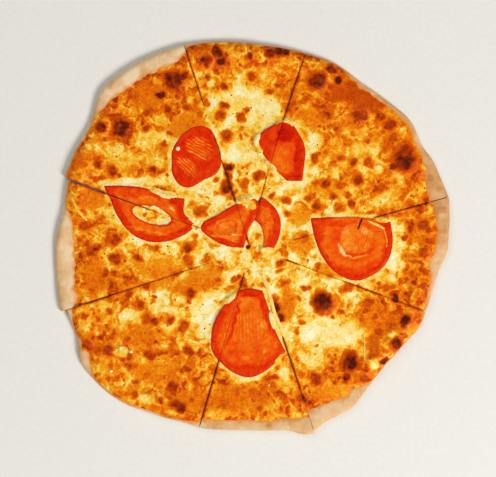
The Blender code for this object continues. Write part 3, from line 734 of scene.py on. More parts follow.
# %% The fan of points between two cuts
COARSE = 4
LEAST_REACH = 1 * MM


def fan(rows):
    """The row and the place in the row of each point: row k holds places 0 to k."""
    row = np.repeat(np.arange(rows + 1), np.arange(1, rows + 2))
    return row, np.arange(len(row)) - row * (row + 1) // 2


def fan_shares(rows):
    """The row of each point, and its share of the way from one cut to the other."""
    row, place = fan(rows)
    return row, np.where(row > 0, place / np.maximum(row, 1), 0.5)


def fan_index(row, place):
    """The number of a point, counted row by row from the tip."""
    return row * (row + 1) // 2 + place


def fan_triangles(rows):
    """The triangles of a fan, facing up."""
    row, place = fan(rows)
    outer = place < row
    k, j = row[outer], place[outer]
    up = np.stack([fan_index(k - 1, j), fan_index(k, j), fan_index(k, j + 1)], axis=1)
    inner = j < k - 1
    k, j = k[inner], j[inner]
    down = np.stack([fan_index(k - 1, j), fan_index(k, j + 1), fan_index(k - 1, j + 1)], axis=1)
    return np.concatenate([up, down])


def slice_points(slice_number, across, reach):
    """Angle, x and y at a share of the way across a slice and a distance along it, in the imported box."""
    before, after = cuts_beside(slice_number)
    start, end = CUTS[before][0], CUTS[after][0]
    end += 360 * (end < start)
    angle = start + (end - start) * across
    first, last = OUTLINE[slice_number][0][0], OUTLINE[slice_number][-1][0]
    angle = angle + 360 * round(((first + last) / 2 - (start + end) / 2) / 360)
    aside = (1 - across) * (cut_offset(before, reach) + gape(before, reach) / 2)
    aside += across * (cut_offset(after, reach) - gape(after, reach) / 2)
    turn = np.radians(angle)
    x = np.clip(HUB[0] + reach * np.cos(turn) - aside * np.sin(turn), cad_box[0][0], cad_box[1][0])
    y = np.clip(HUB[1] + reach * np.sin(turn) + aside * np.cos(turn), cad_box[0][1], cad_box[1][1])
    return angle + np.degrees(np.arctan2(aside, np.maximum(reach, LEAST_REACH))), x, y


print("triangles in a fan of four rows:", len(fan_triangles(4)))

# %% [markdown]
# A piece of food is solid, so its mesh has to be closed, also where it can't be seen. The fine fan
# on top and the coarse one below meet at the edge of the slice and along both cuts. Every fourth
# point of the fine rows pairs with one of the coarse rows, and faces with seven corners join
# them. Values such as browning are stored at the points, for the finish to read.

# %% A closed slice, and putting a piece on the pizza
SHARP_FROM = 60


def closed_slice(name, top, rims, bottom, rows):
    """A closed mesh from a fine fan on top, rows round its edge, and a coarse fan below."""
    coarse_rows = rows // COARSE
    top_count, bottom_start = len(top), len(top) + len(rims) * (rows + 1)
    points = np.concatenate([top, *rims, bottom])
    faces = fan_triangles(rows).tolist()
    faces += (fan_triangles(coarse_rows)[:, ::-1] + bottom_start).tolist()
    edge_rows = [[fan_index(rows, j) for j in range(rows + 1)]]
    for number in range(len(rims)):
        edge_rows.append([top_count + number * (rows + 1) + j for j in range(rows + 1)])
    for upper, lower in zip(edge_rows, edge_rows[1:]):
        faces += [(upper[j], lower[j], lower[j + 1], upper[j + 1]) for j in range(rows)]
    last = edge_rows[-1]
    for m in range(coarse_rows):
        low = [bottom_start + fan_index(coarse_rows, m), bottom_start + fan_index(coarse_rows, m + 1)]
        faces.append([last[COARSE * m], *low, *reversed(last[COARSE * m + 1:COARSE * m + COARSE + 1])])
    for at_end in (False, True):
        upper = [fan_index(k, k * at_end) for k in range(rows)] + [row[-at_end] for row in edge_rows]
        lower = [bottom_start + fan_index(k, k * at_end) for k in range(coarse_rows + 1)]
        for m in range(coarse_rows):
            stop = COARSE * (m + 1) + 1 if m < coarse_rows - 1 else len(upper)
            face = [lower[m], lower[m + 1], *reversed(upper[COARSE * m:stop])]
            faces.append(face[::-1] if at_end else face)
    mesh = bpy.data.meshes.new(name)
    mesh.from_pydata(points.tolist(), [], faces)
    mesh.validate()
    return mesh


def add_field(mesh, name, values):
    """Stores one number at each point of a mesh, for its finish to read."""
    field = mesh.attributes.new(name, "FLOAT", "POINT")
    field.data.foreach_set("value", np.asarray(values, np.float32))


def put_on_pizza(name, mesh, finish, node=None):
    """Makes the mesh a smooth piece of the pizza, and lets it stand for its CAD node."""
    mesh.materials.append(finish)
    mesh.shade_smooth()
    mesh.set_sharp_from_angle(angle=math.radians(SHARP_FROM))
    piece = bpy.data.objects.new(name, mesh)
    bpy.context.scene.collection.objects.link(piece)
    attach(piece, "root")
    if node:
        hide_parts(node)
    return piece


print("each coarse row stands for", COARSE, "fine rows")

# %% [markdown]
# The dough is plain wheat dough, stretched thin, dusted with flour and baked hot. The rim stays
# pale and floury with a dry, leathery skin. It browns only where a bubble stood up, and where
# oil from the cheese soaked in it turns golden. The underside is browned in spots where it lay on
# the hot oven floor. To the eye that is a matt surface with fine powder and soft tan patches.
# Typical values: IOR 1.45, roughness 0.85. Flour grain is under 0.1 mm and too fine to show at
# this size, so it is drawn at 0.7 mm.

# %% Finish: floury baked dough
FLOUR_GRAIN_MM = 0.7
DOUGH_SKIN_MM = 5.0


def floury_baked_dough():
    material, tree = new_finish("floury_baked_dough")
    place = add(tree, "ShaderNodeTexCoord", {}).outputs["Object"]
    baked = add(tree, "ShaderNodeAttribute", {}, attribute_name="baked").outputs["Fac"]
    oiled = add(tree, "ShaderNodeAttribute", {}, attribute_name="oiled").outputs["Fac"]
    flour = add(tree, "ShaderNodeTexNoise", {
        "Vector": place, "Scale": per_metre(FLOUR_GRAIN_MM), "Detail": 3.0})
    skin = add(tree, "ShaderNodeTexNoise", {
        "Vector": place, "Scale": per_metre(DOUGH_SKIN_MM), "Detail": 4.0})
    speckled = add(tree, "ShaderNodeMath", {0: flour.outputs[0], 1: 0.30, 2: -0.15}, operation="MULTIPLY_ADD")
    patched = add(tree, "ShaderNodeMath", {0: skin.outputs[0], 1: 0.30, 2: -0.15}, operation="MULTIPLY_ADD")
    tone = add(tree, "ShaderNodeMath", {0: baked, 1: speckled.outputs[0]}, operation="ADD")
    tone = add(tree, "ShaderNodeMath", {0: tone.outputs[0], 1: patched.outputs[0]}, operation="ADD")
    colour = add(tree, "ShaderNodeValToRGB", {0: tone.outputs[0]}, stops=[
        (0.0, "#ECCFA6"), (0.15, "#E1B885"), (0.35, "#CF965C"), (0.6, "#B27038"), (0.8, "#884C20"),
        (1.0, "#5E3214")])
    golden = add(tree, "ShaderNodeMix", {0: oiled, 6: colour.outputs[0], 7: linear("#DE8420")},
                 data_type="RGBA")
    dust = add(tree, "ShaderNodeBump", {"Height": flour.outputs[0], "Strength": 0.35, "Distance": 0.15 * MM})
    wrinkled = add(tree, "ShaderNodeBump", {
        "Height": skin.outputs[0], "Normal": dust.outputs[0], "Strength": 0.5, "Distance": 0.8 * MM})
    shader = add(tree, "ShaderNodeBsdfPrincipled", {
        "Base Color": golden.outputs[2], "Roughness": 0.85, "IOR": 1.45,
        "Specular IOR Level": 0.3, "Normal": wrinkled.outputs[0],
        "Subsurface Weight": 0.08, "Subsurface Radius": (1.0, 0.6, 0.35), "Subsurface Scale": 1.5 * MM})
    tree.links.new(shader.outputs[0], tree.nodes["Material Output"].inputs["Surface"])
    return material


DOUGH_FINISH = floury_baked_dough()
print("finish:", DOUGH_FINISH.name, "with", len(DOUGH_FINISH.node_tree.nodes), "nodes")

# %% [markdown]
# The dough carries two values for its finish. How baked it is changes slowly round the rim, with
# streaks and bubble tops that took more colour. How oiled it is depends on the distance to the
# edge of the cheese, which crept out unevenly over the rim, so that edge is worked out first. The
# bubbles and dents in the surface are those that were too fine for the solid.

# %% Surface of the dough
# Where the cheese stopped short of its solid: angle and distance in mm
SHORT_OF_RIM = [
    (0, 1), (30, 1), (40, 0), (105, 0), (112, 4), (134, 4), (140, 0), (168, 0), (175, 2.5), (200, 2.5),
    (205, 0), (258, 0), (270, 2), (292, 2), (300, 0), (345, 0), (360, 1),
]
CREEP_SHARE, MOST_CREEP = 0.25, 1.6 * MM

# How much more or less the rim is baked than usual, by angle
RIM_BROWNER = [
    (0, 0.18), (15, 0.20), (30, 0.13), (60, 0.05), (105, -0.05), (165, -0.04), (180, 0.03), (250, 0.03),
    (262, 0.07), (300, 0.10), (360, 0.18),
]
USUAL_BAKE, BUBBLE_TOP_BAKE = 0.12, 0.18
OIL_BAND, MOST_OIL = 3.6 * MM, 0.8
RIM_BUBBLE, SINK, BUBBLES_IN = 0.35 * MM, 0.15 * MM, 4 * MM


def cheese_edge(slice_number, angle, x, y):
    """How far from the hub the cheese ends: it crept out unevenly over the rim."""
    bare = by_angle(BARE_RIM[slice_number], angle) + by_angle(SHORT_OF_RIM, angle % 360)
    edge = by_angle(OUTLINE[slice_number], angle) - bare
    creep = np.minimum(CREEP_SHARE * bare, MOST_CREEP)
    return edge + creep * (mottle(x, y, 7 * MM, 21) + 0.6 * mottle(x, y, 3 * MM, 22))


def dough_surface(slice_number, angle, x, y, reach):
    """Height of the dough with its bubbles, with how baked and how oiled it is."""
    inward = by_angle(OUTLINE[slice_number], angle) - reach
    inside = smooth(inward / BUBBLES_IN)
    bubbles = 0.6 * mottle(x, y, 6 * MM, 31) + 0.4 * mottle(x, y, 2.8 * MM, 32)
    height = dough_top(slice_number, angle, reach) + RIM_BUBBLE * bubbles * inside - SINK * inside
    past_cheese = reach - cheese_edge(slice_number, angle, x, y)
    oiled = MOST_OIL * smooth(1 - past_cheese / OIL_BAND + 0.35 * mottle(x, y, 4 * MM, 33))
    bubble_top = smooth((mottle(x, y, 8 * MM, 34) - 0.35) / 0.5)
    streaky = mottle(angle * 2.5 * MM, reach, 9 * MM, 37)
    baked = USUAL_BAKE + read_off(RIM_BROWNER, angle % 360) + BUBBLE_TOP_BAKE * bubble_top * inside
    baked = baked + 0.08 * mottle(x, y, 12 * MM, 35) + 0.10 * streaky
    return height, np.clip(baked, 0, 1), np.clip(oiled, 0, 1)


rim_angles = np.arange(0, 360, 5)
print("rim baked from", read_off(RIM_BROWNER, rim_angles).min() + USUAL_BAKE,
      "to", read_off(RIM_BROWNER, rim_angles).max() + USUAL_BAKE)

# %% [markdown]
# Each slice of dough keeps the form of its solid. The rows of its fan stand closer together near
# the edge, where the bare rim shows, and spread out under the cheese. Three more rows round the
# edge under, as soft dough does. The underside is a little smaller than the top, and its browning
# is mottled, as from a hot oven floor.

# %% The eight dough slices
DOUGH_ROWS = 148
EDGE_CROWDING = 1.5

# The rows that round the edge under: share of the edge's height, and setback in mm
DOUGH_EDGE = [(0.75, 0.0), (0.45, 0.15), (0.12, 0.6)]
UNDERSIDE_IN = 1.6 * MM
EDGE_OILED = 0.4
UNDERSIDE_BAKE, UNDERSIDE_MOTTLE = 0.42, 0.3


def dough_points(slice_number, rows, setback=0.0):
    """The fan's points on the dough: row, share across, angle, x, y, and distance from the hub."""
    row, across = fan_shares(rows)
    angle, _, _ = slice_points(slice_number, across, np.full_like(across, NOMINAL_RADIUS))
    share = 1 - (1 - row / rows) ** EDGE_CROWDING
    reach = (by_angle(OUTLINE[slice_number], angle) - setback) * share
    angle, x, y = slice_points(slice_number, across, reach)
    return row, across, angle, x, y, reach


def dough_slice(slice_number):
    """One slice of dough, with its finish's two values, in place of its solid."""
    row, across, angle, x, y, reach = dough_points(slice_number, DOUGH_ROWS)
    height, baked, oiled = dough_surface(slice_number, angle, x, y, reach)
    top = np.stack([x, y, height], axis=1)
    outer = row == DOUGH_ROWS
    rims = []
    for level, setback in DOUGH_EDGE:
        _, rim_x, rim_y = slice_points(slice_number, across[outer], reach[outer] - setback * MM)
        rims.append(np.stack([rim_x, rim_y, height[outer] * level], axis=1))
    *_, x_low, y_low, _ = dough_points(slice_number, DOUGH_ROWS // COARSE, UNDERSIDE_IN)
    bottom = np.stack([x_low, y_low, np.zeros_like(x_low)], axis=1)
    name = f"dough_slice_{slice_number}"
    mesh = closed_slice(name, top, rims, bottom, DOUGH_ROWS)
    scorch = UNDERSIDE_BAKE + UNDERSIDE_MOTTLE * mottle(x_low, y_low, 14 * MM, 36)
    add_field(mesh, "baked", np.concatenate([baked, *[baked[outer]] * len(rims), scorch]))
    add_field(mesh, "oiled", np.concatenate([oiled, *[oiled[outer] * EDGE_OILED] * len(rims), 0 * scorch]))
    return put_on_pizza(name, mesh, DOUGH_FINISH, f"crust_{slice_number}")


for number in OUTLINE:
    dough = dough_slice(number)
print("dough slices:", len(OUTLINE), "with", len(dough.data.polygons), "faces in the last")

# %% [markdown]
# The cheese is low-moisture mozzarella, melted and browned. Its fat rose and took up colour from
# the sauce, so most of it is orange and glossy, with cream-white pools, curly yellow veins where
# single shreds melted, and blisters that scorched to dark brown. One ramp turns browning into
# colour, and with it the painted shade at open cuts and in the knife pits. The finish adds the
# detail under a millimetre: specks, pinholes and a slight waviness, which break the oil film into
# small glints. The oil is amber, so it tints them. Typical values for cheese: IOR 1.45, roughness
# 0.28 to 0.48, and a little light travels a millimetre or so below the surface.

# %% Finish: browned mozzarella
SPECK_MM = 1.6
PINHOLE_MM = 2.4
BROWNING_STOPS = [
    (0.0, "#FAF0C6"), (0.10, "#F8E496"), (0.22, "#F8C63A"), (0.34, "#F09410"), (0.47, "#E46A02"),
    (0.60, "#CA4A02"), (0.72, "#A83202"), (0.84, "#802002"), (0.94, "#5A1402"), (1.0, "#460E02"),
]


def browned_mozzarella():
    material, tree = new_finish("browned_mozzarella")
    place = add(tree, "ShaderNodeTexCoord", {}).outputs["Object"]
    browning = add(tree, "ShaderNodeAttribute", {}, attribute_name="browning").outputs["Fac"]
    speck = add(tree, "ShaderNodeTexNoise", {
        "Vector": place, "Scale": per_metre(SPECK_MM), "Detail": 4.0, "Roughness": 0.6})
    pinhole = add(tree, "ShaderNodeTexVoronoi", {"Vector": place, "Scale": per_metre(PINHOLE_MM)})
    hole = add(tree, "ShaderNodeMapRange", {
        "Value": pinhole.outputs["Distance"], "From Min": 0.12, "From Max": 0.32,
        "To Min": 1.0, "To Max": 0.0})
    specked = add(tree, "ShaderNodeMath", {0: speck.outputs[0], 1: 0.44, 2: -0.22}, operation="MULTIPLY_ADD")
    holed = add(tree, "ShaderNodeMath", {0: hole.outputs[0], 1: 0.05}, operation="MULTIPLY")
    tone = add(tree, "ShaderNodeMath", {0: browning, 1: specked.outputs[0]}, operation="ADD")
    tone = add(tree, "ShaderNodeMath", {0: tone.outputs[0], 1: holed.outputs[0]}, operation="ADD")
    colour = add(tree, "ShaderNodeValToRGB", {0: tone.outputs[0]}, stops=BROWNING_STOPS)
    gloss = add(tree, "ShaderNodeMapRange", {
        "Value": speck.outputs[0], "From Min": 0.35, "From Max": 0.65, "To Min": 0.28, "To Max": 0.48})
    dry = add(tree, "ShaderNodeMapRange", {
        "Value": browning, "From Min": 0.6, "From Max": 0.85, "To Min": 0.0, "To Max": 0.2})
    gloss = add(tree, "ShaderNodeMath", {0: gloss.outputs[0], 1: dry.outputs[0]}, operation="ADD")
    waves = add(tree, "ShaderNodeBump", {"Height": speck.outputs[0], "Strength": 0.6, "Distance": 0.45 * MM})
    pits = add(tree, "ShaderNodeBump", {
        "Height": hole.outputs[0], "Normal": waves.outputs[0], "Strength": 0.4, "Distance": 0.25 * MM},
        invert=True)
    shader = add(tree, "ShaderNodeBsdfPrincipled", {
        "Base Color": colour.outputs[0], "Roughness": gloss.outputs[0], "IOR": 1.45,
        "Specular IOR Level": 0.2, "Specular Tint": linear("#FFD090"), "Normal": pits.outputs[0],
        "Subsurface Weight": 0.08, "Subsurface Radius": (1.0, 0.5, 0.15), "Subsurface Scale": 0.8 * MM})
    tree.links.new(shader.outputs[0], tree.nodes["Material Output"].inputs["Surface"])
    return material


CHEESE_FINISH = browned_mozzarella()
print("finish:", CHEESE_FINISH.name, "with", len(CHEESE_FINISH.node_tree.nodes), "nodes")

# %% [markdown]
# The cheese lies on the dough as one sheet and was cut with it. Its height starts from the solid's
# own rule: thick inside, thinning over the rim, raised at the large blisters and sunk in the pools.
# To that come the small swellings of the browned spots and a fine waviness. Nothing may stand out
# of the box of the solids, so the height stops just below its top.

# %% Height of the cheese
# The largest blisters and pools of the solid: middle and radius in mm
BLISTERS = [
    (-57.3, 120, 7.5), (-100.6, 83.5, 8), (-33.7, 134.4, 6.5), (23.3, 140.5, 6), (48.3, 120, 7),
    (65.1, 119.2, 6.5), (81.8, 94.2, 6.5), (116, 57.7, 10), (135, 4.5, 7), (120.5, -18.3, 6.5),
    (54.4, -48.7, 7), (74.2, -97.4, 7), (-112.8, -83.7, 6.5),
]
POOLS = [(-4.9, 99.5, 25), (-7.1, 65.3, 13), (63.2, -73.8, 24), (-34.6, -59.8, 12)]
HIGHEST_CHEESE = cad_box[1][2] - 0.05 * MM

# How much of the relief and of the thickness is left at the edge of the cheese
RELIEF_AT_EDGE, THICK_AT_EDGE = 0.15, 0.15
THINNED_IN = 3.5 * MM


def bumps(x, y, table):
    """A sum of smooth round bumps of height 1, one for each middle and radius in mm."""
    return sum(smooth(1.25 - np.hypot(x / MM - row[0], y / MM - row[1]) / row[2]) for row in table)


def cheese_sheet(slice_number, angle, x, y, reach, edge):
    """Height and browning of the cheese, before the tomato pockets and the cuts."""
    waves = np.sin(x / (8 * MM) + 1.3) * np.sin(y / (9 * MM)) + 0.5 * np.sin((x + y) / (6 * MM))
    relief = 0.9 * bumps(x, y, BLISTERS) - 0.4 * bumps(x, y, POOLS) + 0.3 * waves
    inside = smooth((edge - reach) / CHEESE_EDGE_IN)
    body = CHEESE_EDGE_SHARE + (1 - CHEESE_EDGE_SHARE) * inside
    tone, swell = browning_and_swell(x, y)
    fine = 0.22 * mottle(x, y, 3.2 * MM, 41) + 0.14 * mottle(x, y, 1.7 * MM, 42)
    relief = (relief + fine) * MM * (RELIEF_AT_EDGE + (1 - RELIEF_AT_EDGE) * inside)
    thick = CHEESE_THICK * body + relief + swell * inside
    thinned = THICK_AT_EDGE + (1 - THICK_AT_EDGE) * smooth((edge - reach) / THINNED_IN)
    height = dough_top(slice_number, angle, reach) + (TOUCH_GAP + thick) * thinned
    return np.minimum(height, HIGHEST_CHEESE), tone


print("the cheese stops at", round(HIGHEST_CHEESE / MM, 2), "mm")

# %% [markdown]
# Round a tomato slice the cheese stayed pale, since juice kept it wet, and it rises in a soft lip.
# Under the slice it drops to the pocket that the slice lies in, a little inside the slice's edge,
# so no moat shows. In places the melted cheese crept over that edge, which breaks up its clean
# outline. At an open cut the cheese rounds down, and painted shade of the gap darkens it.

# %% The cheese beside the tomato and the cuts
POCKET_FLOOR = 4.3 * MM
POCKET_FROM, POCKET_FULL = 0.1 * MM, 0.9 * MM
LIP_RISE, LIP_REACH = 1.0 * MM, 3.0 * MM

# The pale ring round a slice: how wide it is and how wide it fades, its browning and how strong it is
RING_WIDE, RING_FADE = 4.0 * MM, 3.0 * MM
RING_TONE, RING_COVER = 0.08, 0.7

# Where melted cheese crept over the edge of a tomato slice: middle and half sizes in mm, and how much
CREPT_OVER = [
    (5, 72, 5, 7, 0.9), (13, 53, 5, 5, 0.9), (28, 89, 4, 4, 0.6), (-65, 35, 10, 4, 1), (-47, 12, 3, 3, 0.6),
    (-6, 29, 7, 4, 1), (11, -9, 5, 3, 1), (98, 14, 5, 3, 0.9), (-17, -46, 5, 5, 0.9), (15, -62, 4, 7, 0.8),
    (21, -92, 4, 4, 0.8), (-74, 21, 6, 3, 0.6),
]
CREPT_IN, CREPT_RISE, CREPT_REACH = 1.5 * MM, 0.1 * MM, 5.0 * MM

# At a cut: how far the rounding reaches and drops, how much painted shade darkens it, and the gape
# in mm at which it starts and over which it grows
CUT_ROUND, CUT_DROP, CUT_PAINTED_SHADE = 0.7 * MM, 0.5 * MM, 0.22
OPEN_FROM, OPEN_CHANGE = 0.15, 0.5


def beside_tomatoes(x, y, height, tone):
    """Pales the cheese round the tomato slices, lets it creep over them, and sinks it under them."""
    inside, top = nearest_tomato(x, y)
    crept = ovals(*bent(x, y), CREPT_OVER)
    ring = smooth((RING_WIDE + inside + 1.5 * MM * mottle(x, y, 6 * MM, 51)) / RING_FADE)
    ring = ring * (inside < CREPT_IN * crept + 0.5 * MM)
    ring = ring * (1 - ovals(x, y, [(*shape, 1) for *shape, _, _ in PLAIN_STRETCHES]))
    tone = tone + (RING_TONE + 0.06 * mottle(x, y, 2 * MM, 52) - tone) * RING_COVER * ring
    lip = smooth(1 + inside / LIP_REACH) * (0.75 + 0.25 * mottle(x, y, 5 * MM, 53))
    height = height + LIP_RISE * lip
    climb = smooth(crept / 0.5) * smooth(1 + inside / CREPT_REACH)
    height = height + climb * np.maximum(top + CREPT_RISE - height, 0)
    sunk = smooth((inside - CREPT_IN * crept - POCKET_FROM) / (POCKET_FULL - POCKET_FROM))
    return height * (1 - sunk) + POCKET_FLOOR * sunk, tone


def beside_cuts(slice_number, across, reach, height, tone):
    """Rounds the cheese down at the cuts, and darkens it with painted shade where they gape."""
    before, after = cuts_beside(slice_number)
    width = reach * math.radians((CUTS[after][0] - CUTS[before][0]) % 360)
    for cut, away in ((before, across * width), (after, (1 - across) * width)):
        open_share = smooth((gape(cut, reach) / MM - OPEN_FROM) / OPEN_CHANGE)
        edge = np.exp(-((away / CUT_ROUND) ** 2)) * open_share
        height = height - CUT_DROP * edge
        # Painted shade of the open gap darkens the cheese beside the cut
        tone = tone + CUT_PAINTED_SHADE * edge
    return height, tone


print("places where cheese crept over tomato:", len(CREPT_OVER))

# %% [markdown]
# The edge of the cheese is uneven, and where it lies depends on the place, which depends on the
# edge. Three rounds of working out one from the other are enough. One row of points just outside
# the edge, half-way down, gives it a rounded lip, and the underside dips a little into the dough,
# so that no light shows between them.

# %% The eight cheese slices
CHEESE_ROWS = 212
EDGE_ROUNDS = 3

# The row that rounds the edge: how far out, its share of the edge's height, and how much browner
EDGE_OUT, EDGE_LEVEL, EDGE_BROWNER = 0.25 * MM, 0.4, 0.05
DIP, UNDERSIDE_TONE = 0.1 * MM, 0.2

# Pits where the knife point went through, near the hub, darkened with painted shade: middle and
# radius in mm
KNIFE_PITS = [(-3.6, -7.0, 1.7), (-5.0, 0.3, 1.3)]
# The pits' floor, how much painted shade darkens them, and the darkest tone allowed
PIT_FLOOR, PIT_PAINTED_SHADE, DARKEST = DOUGH_FLOOR + 0.6 * MM, 0.9, 1.1


def cheese_points(slice_number, rows):
    """The fan's points on the cheese: as for the dough, with the edge's distance at the end."""
    row, across = fan_shares(rows)
    edge = np.full_like(across, NOMINAL_RADIUS)
    for _ in range(EDGE_ROUNDS):
        angle, x, y = slice_points(slice_number, across, edge)
        edge = cheese_edge(slice_number, angle, x, y)
    reach = edge * row / rows
    angle, x, y = slice_points(slice_number, across, reach)
    return row, across, angle, x, y, reach, edge


def cheese_slice(slice_number):
    """One slice of cheese, with its browning and painted shade, in place of its solid."""
    row, across, angle, x, y, reach, edge = cheese_points(slice_number, CHEESE_ROWS)
    height, tone = cheese_sheet(slice_number, angle, x, y, reach, edge)
    height, tone = beside_tomatoes(x, y, height, tone)
    height, tone = beside_cuts(slice_number, across, reach, height, tone)
    pit = np.clip(bumps(x, y, KNIFE_PITS), 0, 1)
    height = height - (height - PIT_FLOOR) * pit
    # Painted shade in the knife pits
    tone = np.clip(tone + PIT_PAINTED_SHADE * pit, 0, DARKEST)
    top = np.stack([x, y, height], axis=1)
    outer = row == CHEESE_ROWS
    _, rim_x, rim_y = slice_points(slice_number, across[outer], reach[outer] + EDGE_OUT)
    under = dough_top(slice_number, angle[outer], reach[outer])
    rim = np.stack([rim_x, rim_y, under + EDGE_LEVEL * (height[outer] - under)], axis=1)
    _, _, angle, x, y, reach, _ = cheese_points(slice_number, CHEESE_ROWS // COARSE)
    bottom = np.stack([x, y, dough_top(slice_number, angle, reach) - DIP], axis=1)
    name = f"cheese_slice_{slice_number}"
    mesh = closed_slice(name, top, [rim], bottom, CHEESE_ROWS)
    tones = [tone, tone[outer] + EDGE_BROWNER, np.full_like(x, UNDERSIDE_TONE)]
    # The browning field also carries the painted shade at open cuts and in the knife pits
    add_field(mesh, "browning", np.concatenate(tones))
    return put_on_pizza(name, mesh, CHEESE_FINISH, f"cheese_{slice_number}")


for number in OUTLINE:
    cheese = cheese_slice(number)
print("cheese slices:", len(OUTLINE), "with", len(cheese.data.polygons), "faces in the last")

# %% [markdown]
# A baked tomato slice is wet flesh: a thin tight skin round firm red wall, and softer orange
# pulp inside, wrinkled by the heat. To the eye it is deep, glossy and a little translucent. One
# number goes from the skin at 0 to pale pulp at 1, and it also carries a few painted highlights.
# Typical values: IOR 1.4, roughness 0.24 to 0.42 under a thin film of juice that the oven dried in
# places. Its fibres are 0.5 to 1 mm, drawn at 1.1 mm so that they show.

# %% Finish: baked tomato
FIBRE_MM = 1.1
FLESH_MM = 3.5
RIPE_STOPS = [
    (0.0, "#A60C02"), (0.12, "#C81602"), (0.28, "#DE2C04"), (0.45, "#EA4806"), (0.60, "#EF660A"),
    (0.75, "#F28418"), (0.88, "#F2A24A"), (1.0, "#F8D6A4"),
]


def baked_tomato():
    material, tree = new_finish("baked_tomato")
    place = add(tree, "ShaderNodeTexCoord", {}).outputs["Object"]
    ripe = add(tree, "ShaderNodeAttribute", {}, attribute_name="ripe").outputs["Fac"]
    fibre = add(tree, "ShaderNodeTexNoise", {"Vector": place, "Scale": per_metre(FIBRE_MM), "Detail": 3.0})
    flesh = add(tree, "ShaderNodeTexNoise", {"Vector": place, "Scale": per_metre(FLESH_MM), "Detail": 2.0})
    fine = add(tree, "ShaderNodeMath", {0: fibre.outputs[0], 1: 0.34, 2: -0.17}, operation="MULTIPLY_ADD")
    cloudy = add(tree, "ShaderNodeMath", {0: flesh.outputs[0], 1: 0.36, 2: -0.18}, operation="MULTIPLY_ADD")
    tone = add(tree, "ShaderNodeMath", {0: ripe, 1: fine.outputs[0]}, operation="ADD")
    tone = add(tree, "ShaderNodeMath", {0: tone.outputs[0], 1: cloudy.outputs[0]}, operation="ADD")
    colour = add(tree, "ShaderNodeValToRGB", {0: tone.outputs[0]}, stops=RIPE_STOPS)
    gloss = add(tree, "ShaderNodeMapRange", {
        "Value": flesh.outputs[0], "From Min": 0.35, "From Max": 0.65, "To Min": 0.24, "To Max": 0.42})
    grain = add(tree, "ShaderNodeBump", {"Height": fibre.outputs[0], "Strength": 0.5, "Distance": 0.25 * MM})
    shader = add(tree, "ShaderNodeBsdfPrincipled", {
        "Base Color": colour.outputs[0], "Roughness": gloss.outputs[0], "IOR": 1.4,
        "Specular IOR Level": 0.2, "Specular Tint": linear("#FFC8A0"), "Normal": grain.outputs[0],
        "Subsurface Weight": 0.12, "Subsurface Radius": (1.0, 0.3, 0.1), "Subsurface Scale": 2.0 * MM})
    tree.links.new(shader.outputs[0], tree.nodes["Material Output"].inputs["Surface"])
    return material


TOMATO_FINISH = baked_tomato()
print("finish:", TOMATO_FINISH.name, "with", len(TOMATO_FINISH.node_tree.nodes), "nodes")

# %% [markdown]
# No two tomato slices look alike. The red band along the skin has its own width in each, and the
# chambers, cores and folds inside show as paler or darker marks, some with a sharp edge and some
# without. A few small pale marks are painted highlights, where light glints on the wet flesh. Fine
# pale lines are seeds and fibres that dried. The marks are ovals, placed one by one and laid over
# each other in the order of the table, as a painter would lay glazes.

# %% Bands, marks and fine lines of the tomato
# Each slice: width of the red band and of the change to flesh in mm, and how ripe the flesh is
BANDS = {
    "tomato_upper_left": (4.0, 7.0, 0.27),
    "tomato_upper_right": (3.0, 6.0, 0.46),
    "tomato_left": (3.8, 3.0, 0.56),
    "tomato_middle": (2.8, 4.0, 0.60),
    "tomato_crescent": (4.2, 2.6, 0.58),
    "tomato_right": (3.2, 2.2, 0.42),
    "tomato_bottom": (2.6, 5.0, 0.52),
}
